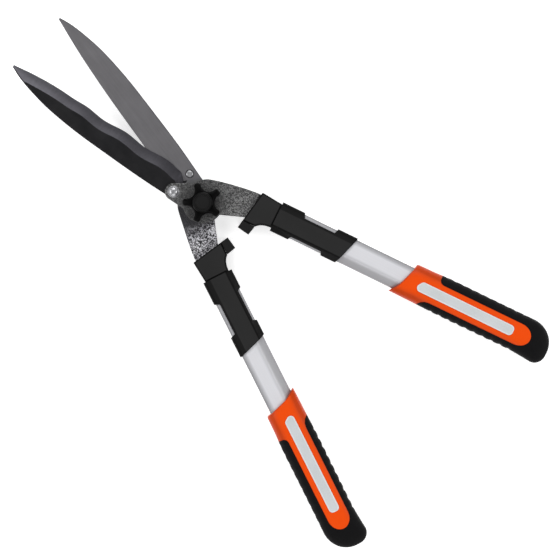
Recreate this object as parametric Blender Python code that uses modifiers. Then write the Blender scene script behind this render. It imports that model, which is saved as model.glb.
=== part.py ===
"""Hedge shears lying flat, blades towards -X and handles towards +X.

Two halves cross on one pivot bolt. Each half is a ground steel blade riveted to a steel arm, whose tang
runs into an egg-shaped aluminium tube through a plastic buffer head. A windowed sleeve covers that joint,
and a hard grip core with a soft cover is moulded on the tube's far end. The rear half holds the bolt, and
a star knob on the bolt sets how firmly the blades are pressed together.

Metres, +Z up. The origin is on the pivot axis, on the flat face of the bolt head, which rests on the floor.
Each half is drawn relative to MID_Z, the plane where the blades meet. The rear half is the same set of
parts turned over about the X axis. In a half, u runs along the handle tube, v points outwards, away from
the other handle, and w is the height above MID_Z.
"""

import math

import bmesh
import bpy
from mathutils import Matrix, Vector

MM = 0.001
GAP = 0.3 * MM  # air left between solids that touch or slide on the real shears

# Rest pose: how far each handle tube and each blade stands from the X axis.
HANDLE_ANGLE = math.radians(18.65)
FRONT_BLADE_ANGLE = math.radians(8.85)
REAR_BLADE_ANGLE = math.radians(7.45)

# Pivot stack, from the floor up.
BOLT_HEAD_HEIGHT = 5.3 * MM
BOLT_HEAD_FLATS = 13.0 * MM
BOLT_RADIUS = 4.0 * MM
WASHER_THICKNESS = 1.6 * MM
WASHER_RADIUS = 10.5 * MM
ARM_THICKNESS = 4.0 * MM
BLADE_THICKNESS = 3.0 * MM
SPRING_HEIGHT = 1.6 * MM
SPRING_THICKNESS = 1.0 * MM
BOLT_WASHER_Z = BOLT_HEAD_HEIGHT + GAP
REAR_ARM_Z = BOLT_WASHER_Z + WASHER_THICKNESS + GAP
REAR_BLADE_Z = REAR_ARM_Z + ARM_THICKNESS + GAP
MID_Z = REAR_BLADE_Z + BLADE_THICKNESS + GAP / 2
BLADE_W = GAP / 2
ARM_W = BLADE_W + BLADE_THICKNESS + GAP
ARM_TOP_Z = MID_Z + ARM_W + ARM_THICKNESS
SPRING_Z = ARM_TOP_Z + GAP
THRUST_WASHER_Z = SPRING_Z + SPRING_HEIGHT + GAP
KNOB_Z = THRUST_WASHER_Z + WASHER_THICKNESS + GAP

# Star knob.
KNOB_LOBES = 5
KNOB_RADIUS = 20.0 * MM
KNOB_SCOOP_CENTRE = 20.0 * MM
KNOB_SCOOP_RADIUS = 8.3 * MM
KNOB_CORNER_RADIUS = 2.7 * MM
KNOB_PHASE = 80.0  # degrees, the direction of the first lobe
KNOB_STAR_HEIGHT = 11.0 * MM
KNOB_HUB_RADIUS = 10.2 * MM
KNOB_HEIGHT = 15.0 * MM
NUT_FLATS = 13.0 * MM
NUT_HEIGHT = 6.5 * MM
BOLT_REACH = 9.0 * MM  # thread inside the knob

# Blade: p runs from the pivot to the tip, q towards the cutting edge.
BLADE_TAIL_RADIUS = 18.0 * MM
SHOULDER_P, SHOULDER_Q = 17.3 * MM, 17.3 * MM
BEVEL_WIDTH = 10.7 * MM
EDGE_THICKNESS = 0.7 * MM
HEEL_P = 28.5 * MM
HEEL_Q = 6.5 * MM
BACK_LINE = ((12, 13.6), (60, 16.2), (110, 16.9), (145, 16.7), (180, 14.3), (204, 10.2), (222, 5.6), (234, 0.9))
FRONT_EDGE = ((28.5, 6.5), (37, 12.4), (100, 11.4), (150, 9.4), (184, 8.4), (210, 5.6), (234, 1.4))
REAR_EDGE = ((28.5, 6.5), (37, 12.6), (88, 11.3), (122, 10.1), (158, 8.3), (195, 5.5), (234, 1.0))
WAVE_HEIGHT = 1.1 * MM
WAVE_PITCH = 50.0 * MM
WAVE_CREST = 53.0 * MM
WAVE_FADE = (40.0 * MM, 46.0 * MM, 140.0 * MM, 180.0 * MM)

# Arm, with the rivet that fixes the blade.
FRONT_RIVET = (-31.2 * MM, -2.9 * MM)
REAR_RIVET = (-32.0 * MM, -1.1 * MM)
RIVET = {"front_half": FRONT_RIVET, "rear_half": REAR_RIVET}
RIVET_RADIUS = 3.5 * MM
RIVET_HEAD_RADIUS = 6.0 * MM
RIVET_HEAD_HEIGHT = 2.6 * MM
ARM_SHOULDER_U = 52.0 * MM
FRONT_ARM_OUTER = (
    (52, 32.8), (44, 32.6), (30, 31.0), (10, 27.5), (-2, 24.6), (-7, 22.8), (-12, 19.2), (-16, 15.4), (-18.7, 12.9)
)
REAR_ARM_OUTER = ((52, 32.8), (44, 32.6), (30, 31.1), (12, 28.4), (0, 26.5), (-6, 25.3), (-11, 23.4))
# Outer side, rivet, toe radius and the angles where its arc starts and ends, boss radius and its first angle.
FRONT_ARM = (FRONT_ARM_OUTER, FRONT_RIVET, 8.6 * MM, (116, 262), 20.5 * MM, 222)
REAR_ARM = (REAR_ARM_OUTER, REAR_RIVET, 6.6 * MM, (121, 270), 19.0 * MM, 216)
TANG_END_U = 140.0 * MM
TANG_HALF_WIDTH = 9.0 * MM
JOGGLE = (46.0 * MM, 58.0 * MM)

# Tube and sleeve sections are wrapped round these circles: (v, w, radius) in millimetres.
TUBE_V = 20.0 * MM
TUBE_CIRCLES = ((31.0, 7.0, 3.0), (15.5, 6.5, 3.5), (10.2, 1.8, 4.2))
TUBE_WALL = 1.5 * MM
TUBE_START_U, TUBE_END_U = 72.6 * MM, 349.0 * MM
SLEEVE_CIRCLES = ((31.3, 6.5, 4.4), (27.5, 9.0, 3.0), (12.0, 9.0, 3.0), (8.0, 3.0, 3.7))
SLEEVE_START_U = 72.3 * MM
SLEEVE_END_U = (144.5 * MM, 155.0 * MM)  # inner side, outer side
SLEEVE_HALF_WIDTH = 15.7 * MM
OUTER_WINDOW = ((95.4, 37.5), (98.5, 30.4), (131.5, 30.4), (133.9, 37.5))
INNER_WINDOW = ((90.8, 2.5), (94.0, 7.9), (127.0, 7.9), (129.3, 2.5))

# Buffer head and the soft pad on its foot.
HEAD_HALF_HEIGHT = 12.0 * MM
NOTCH_CENTRE = (72.0, -2.0)
NOTCH_RADII = (16.0, 9.5)
PAD_TOP_V = 1.6 * MM
PEG_SIZE = (6.0 * MM, 7.0 * MM, 12.0 * MM)
PEG_U = 49.3 * MM
SPIGOT_END_U = 134.0 * MM

# Screws through sleeve, tube, spigot and tang.
SCREW_U = {"inner": 84.0 * MM, "outer": 120.0 * MM}
SCREW_RADIUS = 1.6 * MM
SCREW_HEAD_RADIUS = 3.3 * MM
SCREW_HEAD_HEIGHT = 1.6 * MM
SCREW_TIP_W = 7.0 * MM

# Grip.
GRIP_START_U = (203.5 * MM, 219.6 * MM)  # inner side, outer side
GRIP_HALF_HEIGHT = 14.55 * MM
GRIP_SQUARENESS = 3.0
GRIP_SKIN = 2.0 * MM  # thickness of the soft cover
GRIP_OUTER = ((200, 38.5), (228, 39.1), (240, 39.3), (254, 40.1), (300, 40.3), (349, 40.5))
GRIP_INNER = ((200, 2.6), (240, 2.2), (256, 1.8), (300, 2.0), (340, 2.3), (352, 1.6), (363, 0.5))
GRIP_BUTT_U = 374.2 * MM
BUTT_OUTER_CENTRE = (349.0 * MM, 17.0 * MM)
BUTT_INNER_CENTRE = (363.0 * MM, 12.0 * MM)
INLAY_CIRCLES = ((330.0, 21.25, 4.1), (234.4, 21.25, 4.1), (232.7, 18.8, 4.1), (330.0, 18.8, 4.1))
INLAY_DEPTH = 2.0 * MM
INLAY_PROUD = MID_Z - GRIP_HALF_HEIGHT  # brings the lower inlay down to the floor

STEEL = dict(color=(0.55, 0.56, 0.58), metallic=1.0, roughness=0.35)
MATERIALS = {
    "blade_black": dict(color=(0.03, 0.03, 0.035), metallic=0.6, roughness=0.4),
    "blade_grey": dict(color=(0.33, 0.33, 0.34), metallic=0.9, roughness=0.45),
    "hammer_paint": dict(color=(0.22, 0.22, 0.23), metallic=0.6, roughness=0.35),
    "zinc": STEEL,
    "black_plastic": dict(color=(0.03, 0.03, 0.032), metallic=0.0, roughness=0.5),
    "black_rubber": dict(color=(0.015, 0.015, 0.016), metallic=0.0, roughness=0.8),
    "aluminium": dict(color=(0.8, 0.8, 0.82), metallic=1.0, roughness=0.35),
    "orange_plastic": dict(color=(1.0, 0.17, 0.01), metallic=0.0, roughness=0.35),
    "silver_plastic": dict(color=(0.75, 0.78, 0.8), metallic=0.3, roughness=0.35),
}


# ---------------------------------------------------------------- scene helpers


def clear_scene():
    for obj in list(bpy.data.objects):
        bpy.data.objects.remove(obj, do_unlink=True)


def new_collection(name):
    collection = bpy.data.collections.new(name)
    bpy.context.scene.collection.children.link(collection)
    return collection


def make_material(name, color, metallic, roughness):
    material = bpy.data.materials.new(name)
    material.use_nodes = True
    shader = material.node_tree.nodes["Principled BSDF"]
    shader.inputs["Base Color"].default_value = (*color, 1.0)
    shader.inputs["Metallic"].default_value = metallic
    shader.inputs["Roughness"].default_value = roughness
    return material


def new_frame(name, parent=None, location=(0, 0, 0), rotation=(0, 0, 0)):
    """An empty on the pivot axis that a half, a handle or a blade hangs from."""
    frame = bpy.data.objects.new(name, None)
    PARTS.objects.link(frame)
    frame.parent = parent
    frame.location = location
    frame.rotation_euler = rotation
    return frame


def add_part(name, mesh, parent=None, material=None, location=(0, 0, 0)):
    """A named piece of the shears."""
    obj = bpy.data.objects.new(name, mesh)
    PARTS.objects.link(obj)
    obj.parent = parent
    obj.location = location
    if material and not mesh.materials:
        mesh.materials.append(bpy.data.materials[material])
    return obj


def add_cutter(name, mesh, parent=None, location=(0, 0, 0)):
    """A helper solid for a Boolean. It isn't part of the shears."""
    obj = bpy.data.objects.new(name, mesh)
    CUTTERS.objects.link(obj)
    obj.parent = parent
    obj.location = location
    obj.hide_render = True
    obj.display_type = "WIRE"
    return obj


def boolean(obj, other, operation="DIFFERENCE"):
    modifier = obj.modifiers.new(other.name, "BOOLEAN")
    modifier.object = other
    modifier.operation = operation
    modifier.solver = "EXACT"


def bevel(obj, width, segments=2, angle=35):
    modifier = obj.modifiers.new("Rounded edges", "BEVEL")
    modifier.width = width
    modifier.segments = segments
    modifier.limit_method = "ANGLE"
    modifier.angle_limit = math.radians(angle)


def shade(obj, angle=30):
    obj.data.shade_smooth()
    obj.data.set_sharp_from_angle(angle=math.radians(angle))


# ---------------------------------------------------------------- shape helpers


def in_metres(points):
    return [tuple(value * MM for value in point) for point in points]


def arc(centre, radius, start, end, steps):
    """Points on an arc, from the start to the end angle in degrees."""
    angles = [math.radians(start + (end - start) * i / steps) for i in range(steps + 1)]
    return [(centre[0] + radius * math.cos(a), centre[1] + radius * math.sin(a)) for a in angles]


def wrapped(circles, grow=0.0, step=15):
    """The convex outline that wraps circles (x, y, radius), made larger by grow."""
    outline = []
    for index in range(round(360 / step)):
        angle = math.radians((index + 0.5) * step)
        x, y = math.cos(angle), math.sin(angle)
        centre_x, centre_y, radius = max(circles, key=lambda c: c[0] * x + c[1] * y + c[2])
        outline.append((centre_x + (radius + grow) * x, centre_y + (radius + grow) * y))
    return outline


def both_faces(circles):
    """The circles of a section's upper half in metres, with their mirror images below."""
    upper = in_metres(circles)
    return upper + [(v, -w, radius) for v, w, radius in upper]


def smooth_value(keys, x):
    """The height at x of a smooth curve through (x, height) keys, both in metres."""
    keys = list(keys)
    x = min(max(x, keys[0][0]), keys[-1][0])
    index = max(i for i in range(len(keys) - 1) if keys[i][0] <= x or i == 0)
    (x0, y0), (x1, y1) = keys[index], keys[index + 1]

    def slope(i):
        before, after = keys[max(i - 1, 0)], keys[min(i + 1, len(keys) - 1)]
        return (after[1] - before[1]) / (after[0] - before[0])

    span = x1 - x0
    t = (x - x0) / span
    return (
        y0 * (2 * t**3 - 3 * t**2 + 1)
        + slope(index) * span * (t**3 - 2 * t**2 + t)
        + y1 * (3 * t**2 - 2 * t**3)
        + slope(index + 1) * span * (t**3 - t**2)
    )


def ramp(x, start, end):
    """0 before start, 1 after end, and a smooth step between."""
    t = min(max((x - start) / (end - start), 0.0), 1.0)
    return t * t * (3 - 2 * t)


def prism(name, outlines, half_height):
    """A mesh: flat outlines, the first one outside and the rest holes, given thickness along Z."""
    data = bpy.data.curves.new(name, "CURVE")
    data.dimensions = "2D"
    data.fill_mode = "BOTH"
    data.extrude = half_height
    for outline in outlines:
        spline = data.splines.new("POLY")
        spline.points.add(len(outline) - 1)
        for point, (x, y) in zip(spline.points, outline):
            point.co = (x, y, 0, 1)
        spline.use_cyclic_u = True
    curve = bpy.data.objects.new(name, data)
    bpy.context.scene.collection.objects.link(curve)
    graph = bpy.context.evaluated_depsgraph_get()
    mesh = bpy.data.meshes.new_from_object(curve.evaluated_get(graph))
    bpy.data.objects.remove(curve, do_unlink=True)
    work = bmesh.new()
    work.from_mesh(mesh)
    bmesh.ops.remove_doubles(work, verts=work.verts, dist=0.001 * MM)
    bmesh.ops.recalc_face_normals(work, faces=work.faces)
    work.to_mesh(mesh)
    work.free()
    mesh.name = name
    return mesh


def tube_prism(name, outlines, start_u, end_u):
    """A mesh: outlines in the (v, w) plane, drawn out along u."""
    mesh = prism(name, outlines, (end_u - start_u) / 2)
    to_uvw = Matrix(((0, 0, 1, (start_u + end_u) / 2), (1, 0, 0, 0), (0, 1, 0, 0), (0, 0, 0, 1)))
    mesh.transform(to_uvw)
    return mesh


def slant_end(mesh, old_u, edge):
    """Moves the end face at old_u so that its u follows edge(v)."""
    for vertex in mesh.vertices:
        if abs(vertex.co.x - old_u) < 0.01 * MM:
            vertex.co.x = edge(vertex.co.y)


def loft(name, sections):
    """A mesh: a closed solid through loops of equally many points, with flat ends."""
    work = bmesh.new()
    rings = [[work.verts.new(point) for point in section] for section in sections]
    for ring, after in zip(rings, rings[1:]):
        for i in range(len(ring)):
            j = (i + 1) % len(ring)
            work.faces.new((ring[i], ring[j], after[j], after[i]))
    ends = [work.faces.new(rings[0]), work.faces.new(rings[-1])]
    bmesh.ops.triangulate(work, faces=ends)
    bmesh.ops.recalc_face_normals(work, faces=work.faces)
    mesh = bpy.data.meshes.new(name)
    work.to_mesh(mesh)
    work.free()
    return mesh


def turned(name, profile, parent=None, material=None, location=(0, 0, 0), steps=32, closed=False):
    """A piece turned about Z. The profile of (radius, z) runs down its outer side."""
    edges = [(i, i + 1) for i in range(len(profile) - 1)]
    if closed:
        edges.append((len(profile) - 1, 0))
    mesh = bpy.data.meshes.new(name)
    mesh.from_pydata([(radius, 0, z) for radius, z in profile], edges, [])
    obj = add_part(name, mesh, parent, material, location)
    screw = obj.modifiers.new("Turned", "SCREW")
    screw.steps = steps
    screw.render_steps = steps
    screw.use_merge_vertices = True
    screw.merge_threshold = 0.01 * MM
    return obj


def cylinder(name, radius, low, high, at=(0, 0), steps=32, turn=0.0):
    """A mesh: an upright cylinder, or a hexagon with 6 steps."""
    work = bmesh.new()
    place = Matrix.Translation((at[0], at[1], (low + high) / 2)) @ Matrix.Rotation(turn, 4, "Z")
    bmesh.ops.create_cone(
        work, cap_ends=True, segments=steps, radius1=radius, radius2=radius, depth=high - low, matrix=place
    )
    mesh = bpy.data.meshes.new(name)
    work.to_mesh(mesh)
    work.free()
    return mesh


def box(name, low, high):
    work = bmesh.new()
    size = Vector(high) - Vector(low)
    centre = (Vector(high) + Vector(low)) / 2
    bmesh.ops.create_cube(work, size=1.0, matrix=Matrix.Translation(centre) @ Matrix.Diagonal((*size, 1.0)))
    mesh = bpy.data.meshes.new(name)
    work.to_mesh(mesh)
    work.free()
    return mesh


# ---------------------------------------------------------------- blades


def blade_back(p):
    """q of the blunt back: round the tail, then a long curve that comes in to the tip."""
    keys = in_metres(BACK_LINE)
    if p < keys[0][0]:
        return -math.sqrt(max(BLADE_TAIL_RADIUS**2 - p * p, 0.0))
    return -smooth_value(keys, p)


def blade_edge(p, keys, wave_height):
    """q of the cutting edge: round the tail, out to a shoulder, in to the heel, then the wavy edge."""
    if p < 0:
        return math.sqrt(max(BLADE_TAIL_RADIUS**2 - p * p, 0.0))
    if p < SHOULDER_P:
        return BLADE_TAIL_RADIUS + (SHOULDER_Q - BLADE_TAIL_RADIUS) * p / SHOULDER_P
    if p < HEEL_P:
        return SHOULDER_Q + (HEEL_Q - SHOULDER_Q) * (p - SHOULDER_P) / (HEEL_P - SHOULDER_P)
    rise_start, rise_end, fall_start, fall_end = WAVE_FADE
    fade = ramp(p, rise_start, rise_end) - ramp(p, fall_start, fall_end)
    wave = wave_height * fade * math.cos(2 * math.pi * (p - WAVE_CREST) / WAVE_PITCH)
    return smooth_value(in_metres(keys), p) + wave


def blade_section(p, keys, wave_height):
    """Five corners of the blade at p. The flat side is at BLADE_W, and the bevel is on the other side."""
    back, edge = blade_back(p), blade_edge(p, keys, wave_height)
    top = BLADE_W + BLADE_THICKNESS
    edge_top = BLADE_W + EDGE_THICKNESS
    if p < HEEL_P:
        return [(p, back, BLADE_W), (p, edge, BLADE_W), (p, edge, top), (p, back / 2, top), (p, back, top)]
    edge_top = top + (edge_top - top) * ramp(p, HEEL_P, HEEL_P + 8 * MM)
    width = min(BEVEL_WIDTH, 0.96 * (edge - back))
    bevel_top = edge_top + (top - edge_top) * width / BEVEL_WIDTH
    return [
        (p, back, BLADE_W),
        (p, edge, BLADE_W),
        (p, edge, edge_top),
        (p, edge - width, bevel_top),
        (p, back, bevel_top),
    ]


def blade_stations():
    """Closer together round the tail, at the heel and at the tip."""
    tail = [-BLADE_TAIL_RADIUS * math.cos(math.radians(a)) for a in (8, 25, 42, 59, 76, 90)]
    neck = [4 * MM, 8 * MM, 12 * MM, SHOULDER_P, HEEL_P, 30.5 * MM, 33 * MM, 37 * MM]
    main = [(42 + 5.8 * i) * MM for i in range(30)]
    tip = [(215 + d) * MM for d in (0, 5, 9.5, 13, 15.8, 17.8, 19)]
    return tail + neck + main + tip


def make_blade(name, half, angle, keys, wave_height, material):
    """The blade, its pivot and rivet holes, hung so that its edge faces the other blade."""
    frame = new_frame(name + "_frame", half, rotation=(0, 0, math.pi + angle))
    sections = []
    for p in blade_stations():
        # Seen from above the front half, q points to -v, so the loft is mirrored into x and y.
        sections.append([(x, -q, w) for x, q, w in blade_section(p, keys, wave_height)])
    blade = add_part(name, loft(name, sections), frame, material)
    boolean(blade, PIVOT_HOLE[half.name])
    boolean(blade, RIVET_HOLE[half.name])
    shade(blade, 20)
    return blade


# ---------------------------------------------------------------- arms and rivets


def arm_outline(outer_side, rivet, toe_radius, toe_angles, boss_radius, boss_angle):
    """The stamped outline, anticlockwise from the tang: outer side, round toe, boss, inner side."""
    inner, outer = TUBE_V - TANG_HALF_WIDTH, TUBE_V + TANG_HALF_WIDTH
    tang = [(TANG_END_U, inner), (TANG_END_U, outer), (54 * MM, outer)]
    toe = arc(rivet, toe_radius, *toe_angles, 9)
    boss = arc((0, 0), boss_radius, boss_angle, 350, 10)
    return tang + in_metres(outer_side) + toe + boss + [(ARM_SHOULDER_U, 8.4 * MM), (54 * MM, inner)]


def joggle(mesh):
    """Cuts a flat plate across at the bend, and brings it from MID_Z up to the arm's level before it."""
    start, end = JOGGLE
    drop = ARM_W + ARM_THICKNESS / 2
    work = bmesh.new()
    work.from_mesh(mesh)
    for share in (0, 0.25, 0.5, 0.75, 1):
        bmesh.ops.bisect_plane(
            work,
            geom=work.verts[:] + work.edges[:] + work.faces[:],
            plane_co=(start + (end - start) * share, 0, 0),
            plane_no=(1, 0, 0),
        )
    for vertex in work.verts:
        vertex.co.z += drop * (1 - ramp(vertex.co.x, start, end))
    bmesh.ops.triangulate(work, faces=[face for face in work.faces if len(face.verts) > 4])
    work.to_mesh(mesh)
    work.free()


def make_arm(name, half, handle, shape):
    mesh = prism(name, [arm_outline(*shape)], ARM_THICKNESS / 2)
    joggle(mesh)
    arm = add_part(name, mesh, handle, "hammer_paint")
    bevel(arm, 0.6 * MM, segments=1, angle=50)
    boolean(arm, PIVOT_HOLE[half.name])
    boolean(arm, RIVET_HOLE[half.name])
    for cutter in SCREW_HOLES[half.name]:
        boolean(arm, cutter)
    shade(arm)
    return arm


def make_rivet(name, half, handle):
    """Flush with the blade's inner face, and domed over the arm."""
    foot = BLADE_W + 0.2 * MM
    seat = ARM_W + ARM_THICKNESS + GAP
    dome = [
        (RIVET_HEAD_RADIUS * math.sin(a), seat + 0.5 * MM + (RIVET_HEAD_HEIGHT - 0.5 * MM) * math.cos(a))
        for a in [math.radians(15 * i) for i in range(7)]
    ]
    profile = dome + [(RIVET_HEAD_RADIUS, seat), (RIVET_RADIUS, seat), (RIVET_RADIUS, foot), (0, foot)]
    turned(name, profile, handle, "zinc", location=(*RIVET[half.name], 0), steps=24)


# ---------------------------------------------------------------- handle joint


def head_outline():
    """The buffer head above its pad, anticlockwise from the pad line."""
    cx, cy = NOTCH_CENTRE
    rx, ry = NOTCH_RADII
    notch = [
        (cx + rx * math.cos(math.radians(a)), cy + ry * math.sin(math.radians(a)))
        for a in (157, 146, 135, 124, 113, 102, 90)
    ]
    return in_metres([(43.4, 1.6)] + notch + [(72, 33.2), (49.3, 35.3)])


def pad_outline():
    """The foot that meets the other handle's foot when the shears close."""
    return in_metres([(42.0, -6.6), (54.5, -8.6), (56.0, -2.2), (56.7, 1.3), (43.3, 1.3)])


def arm_pocket():
    """The space that the arm's shoulder and tang fill in the head and its spigot."""
    inner, outer = TUBE_V - TANG_HALF_WIDTH - GAP, TUBE_V + TANG_HALF_WIDTH + GAP
    outline = [
        (36 * MM, 1.2 * MM),
        (ARM_SHOULDER_U + GAP, 8.0 * MM),
        (54.4 * MM, inner),
        (TANG_END_U + GAP, inner),
        (TANG_END_U + GAP, outer),
        (54.4 * MM, outer),
        (ARM_SHOULDER_U + GAP, 33.2 * MM),
        (36 * MM, 33.2 * MM),
    ]
    pocket = prism("arm_pocket", [outline], ARM_THICKNESS / 2 + GAP)
    joggle(pocket)
    return pocket


def make_buffer_head(name, half, handle):
    """The head, with a spigot that plugs the tube and a peg that holds the pad."""
    head = add_part(name, prism(name, [head_outline()], HEAD_HALF_HEIGHT), handle, "black_plastic")
    bevel(head, 1.4 * MM)
    section = wrapped(both_faces(TUBE_CIRCLES), -TUBE_WALL - GAP)
    spigot = add_cutter(name + "_spigot", tube_prism("spigot", [section], 66 * MM, SPIGOT_END_U), handle)
    boolean(head, spigot, "UNION")
    length, depth, height = PEG_SIZE
    low = (PEG_U - length / 2, PAD_TOP_V - depth, -height / 2)
    high = (PEG_U + length / 2, PAD_TOP_V + 2 * MM, height / 2)
    peg = add_cutter(name + "_peg", box("peg", low, high), handle)
    boolean(head, peg, "UNION")
    boolean(head, add_cutter(name + "_pocket", arm_pocket(), handle))
    for cutter in SCREW_HOLES[half.name]:
        boolean(head, cutter)
    shade(head)
    return head


def make_buffer_pad(name, handle):
    pad = add_part(name, prism(name, [pad_outline()], HEAD_HALF_HEIGHT), handle, "black_rubber")
    bevel(pad, 1.0 * MM)
    length, depth, height = PEG_SIZE
    low = (PEG_U - length / 2 - GAP, PAD_TOP_V - depth - GAP, -height / 2 - GAP)
    high = (PEG_U + length / 2 + GAP, PAD_TOP_V + 5 * MM, height / 2 + GAP)
    boolean(pad, add_cutter(name + "_socket", box("socket", low, high), handle))
    shade(pad)
    return pad


def slanted(ends, v, half_width, power):
    """u of a slanted, slightly hollow end at v, from its inner and outer corners."""
    inner_u, outer_u = ends
    share = (v - TUBE_V) / (2 * half_width) + 0.5
    return inner_u + (outer_u - inner_u) * min(max(share, 0.0), 1.0) ** power


def sleeve_end(v):
    return slanted(SLEEVE_END_U, v, SLEEVE_HALF_WIDTH, 0.85)


def make_sleeve(name, half, handle):
    """A sleeve round the tube's end, with a window in each side."""
    outer = wrapped(both_faces(SLEEVE_CIRCLES))
    inner = wrapped(both_faces(TUBE_CIRCLES), GAP)
    mesh = tube_prism(name, [outer, inner], SLEEVE_START_U, SLEEVE_END_U[1])
    slant_end(mesh, SLEEVE_END_U[1], sleeve_end)
    sleeve = add_part(name, mesh, handle, "black_plastic")
    for label, window in (("outer", OUTER_WINDOW), ("inner", INNER_WINDOW)):
        cutter = prism(f"{label}_window", [in_metres(window)], 16 * MM)
        boolean(sleeve, add_cutter(f"{name}_{label}_window", cutter, handle))
    for cutter in SCREW_HOLES[half.name]:
        boolean(sleeve, cutter)
    shade(sleeve, 20)
    return sleeve


def make_tube(name, half, handle):
    outer = wrapped(both_faces(TUBE_CIRCLES))
    inner = wrapped(both_faces(TUBE_CIRCLES), -TUBE_WALL)
    tube = add_part(name, tube_prism(name, [outer, inner], TUBE_START_U, TUBE_END_U), handle, "aluminium")
    for cutter in SCREW_HOLES[half.name]:
        boolean(tube, cutter)
    shade(tube, 20)
    return tube


def make_screw(name, handle, place, back):
    """A pan-head screw, driven in from the back, which is at -w or at +w."""
    seat = -12.0 * MM - GAP
    head_low = seat - SCREW_HEAD_HEIGHT
    rim = SCREW_HEAD_RADIUS - 0.7 * MM
    profile = [
        (0, SCREW_TIP_W),
        (SCREW_RADIUS * 0.5, SCREW_TIP_W),
        (SCREW_RADIUS, SCREW_TIP_W - 2 * MM),
        (SCREW_RADIUS, seat),
        (SCREW_HEAD_RADIUS, seat),
        (SCREW_HEAD_RADIUS, head_low + 0.7 * MM),
        (rim, head_low),
        (0, head_low),
    ]
    screw = turned(name, profile, handle, "zinc", location=(place, TUBE_V, 0), steps=16)
    if back > 0:
        screw.rotation_euler = (math.pi, 0, 0)
    return screw


# ---------------------------------------------------------------- grips


def grip_outer(u):
    """v of the outer side in plan, with the butt as a quarter ellipse."""
    centre_u, centre_v = BUTT_OUTER_CENTRE
    if u <= centre_u:
        return smooth_value(in_metres(GRIP_OUTER), u)
    t = (u - centre_u) / (GRIP_BUTT_U - centre_u)
    top = GRIP_OUTER[-1][1] * MM
    return centre_v + (top - centre_v) * math.sqrt(max(1 - t * t, 0.0))


def grip_inner(u):
    """v of the inner side in plan, dipping to a heel before the butt turns up."""
    centre_u, centre_v = BUTT_INNER_CENTRE
    if u <= centre_u:
        return smooth_value(in_metres(GRIP_INNER), u)
    t = (u - centre_u) / (GRIP_BUTT_U - centre_u)
    heel = GRIP_INNER[-1][1] * MM
    return centre_v - (centre_v - heel) * math.sqrt(max(1 - t * t, 0.0))


def grip_half_height(u):
    rise = 0.91 + 0.09 * ramp(u, 205 * MM, 236 * MM)
    t = max(u - BUTT_OUTER_CENTRE[0], 0.0) / (GRIP_BUTT_U + 1.5 * MM - BUTT_OUTER_CENTRE[0])
    return GRIP_HALF_HEIGHT * rise * math.sqrt(1 - t * t)


def grip_section(u, inset, points=24):
    """A squarish oval across the grip, inset from its surface."""
    low, high = grip_inner(u) + inset, grip_outer(u) - inset
    centre, half_width, half_height = (low + high) / 2, (high - low) / 2, grip_half_height(u) - inset
    section = []
    for index in range(points):
        angle = 2 * math.pi * (index + 0.5) / points
        c, s = math.cos(angle), math.sin(angle)
        power = 2 / GRIP_SQUARENESS
        v = centre + half_width * math.copysign(abs(c) ** power, c)
        w = half_height * math.copysign(abs(s) ** power, s)
        section.append((u, v, w))
    return section


def grip_start(v):
    return slanted(GRIP_START_U, v, 17.8 * MM, 0.5)


def grip_form(name):
    """The whole grip's outer surface, with its slanted start."""
    stations = [222, 236, 252, 290, 345, 352, 358, 363, 367, 370, 372.3, 373.8]
    first = [(grip_start(v), v, w) for _, v, w in grip_section(212 * MM, 0)]
    return loft(name, [first] + [grip_section(u * MM, 0) for u in stations])


def grip_heart(name, inset):
    """What lies under the soft cover: the same form, inset."""
    stations = [230, 252, 290, 345, 352, 358, 362, 365.5, 368]
    return loft(name, [grip_section(u * MM, inset) for u in stations])


def tongue_outline(grow=0.0):
    """Plan of the hard plastic that shows: a collar and a round-ended tongue between the soft sides."""
    end = [
        (339.5 * MM + (13.3 * MM + grow) * math.cos(a), 20.0 * MM + (10.9 * MM + grow) * math.sin(a))
        for a in [math.radians(-90 + 18 * i) for i in range(11)]
    ]
    inner_side = in_metres(((195, -5), (232, -5), (235.5, 2.5), (242, 8.0)))
    outer_side = in_metres(((252, 30.7), (248.4, 32.2), (247, 35.2), (247, 46), (195, 46)))
    inner_side = [(u + grow, v - grow) for u, v in inner_side]
    outer_side = [(u + grow, v + grow) for u, v in outer_side]
    return inner_side + end + outer_side


def inlay_outline(grow=0.0):
    return wrapped(in_metres(INLAY_CIRCLES), grow)


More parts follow.
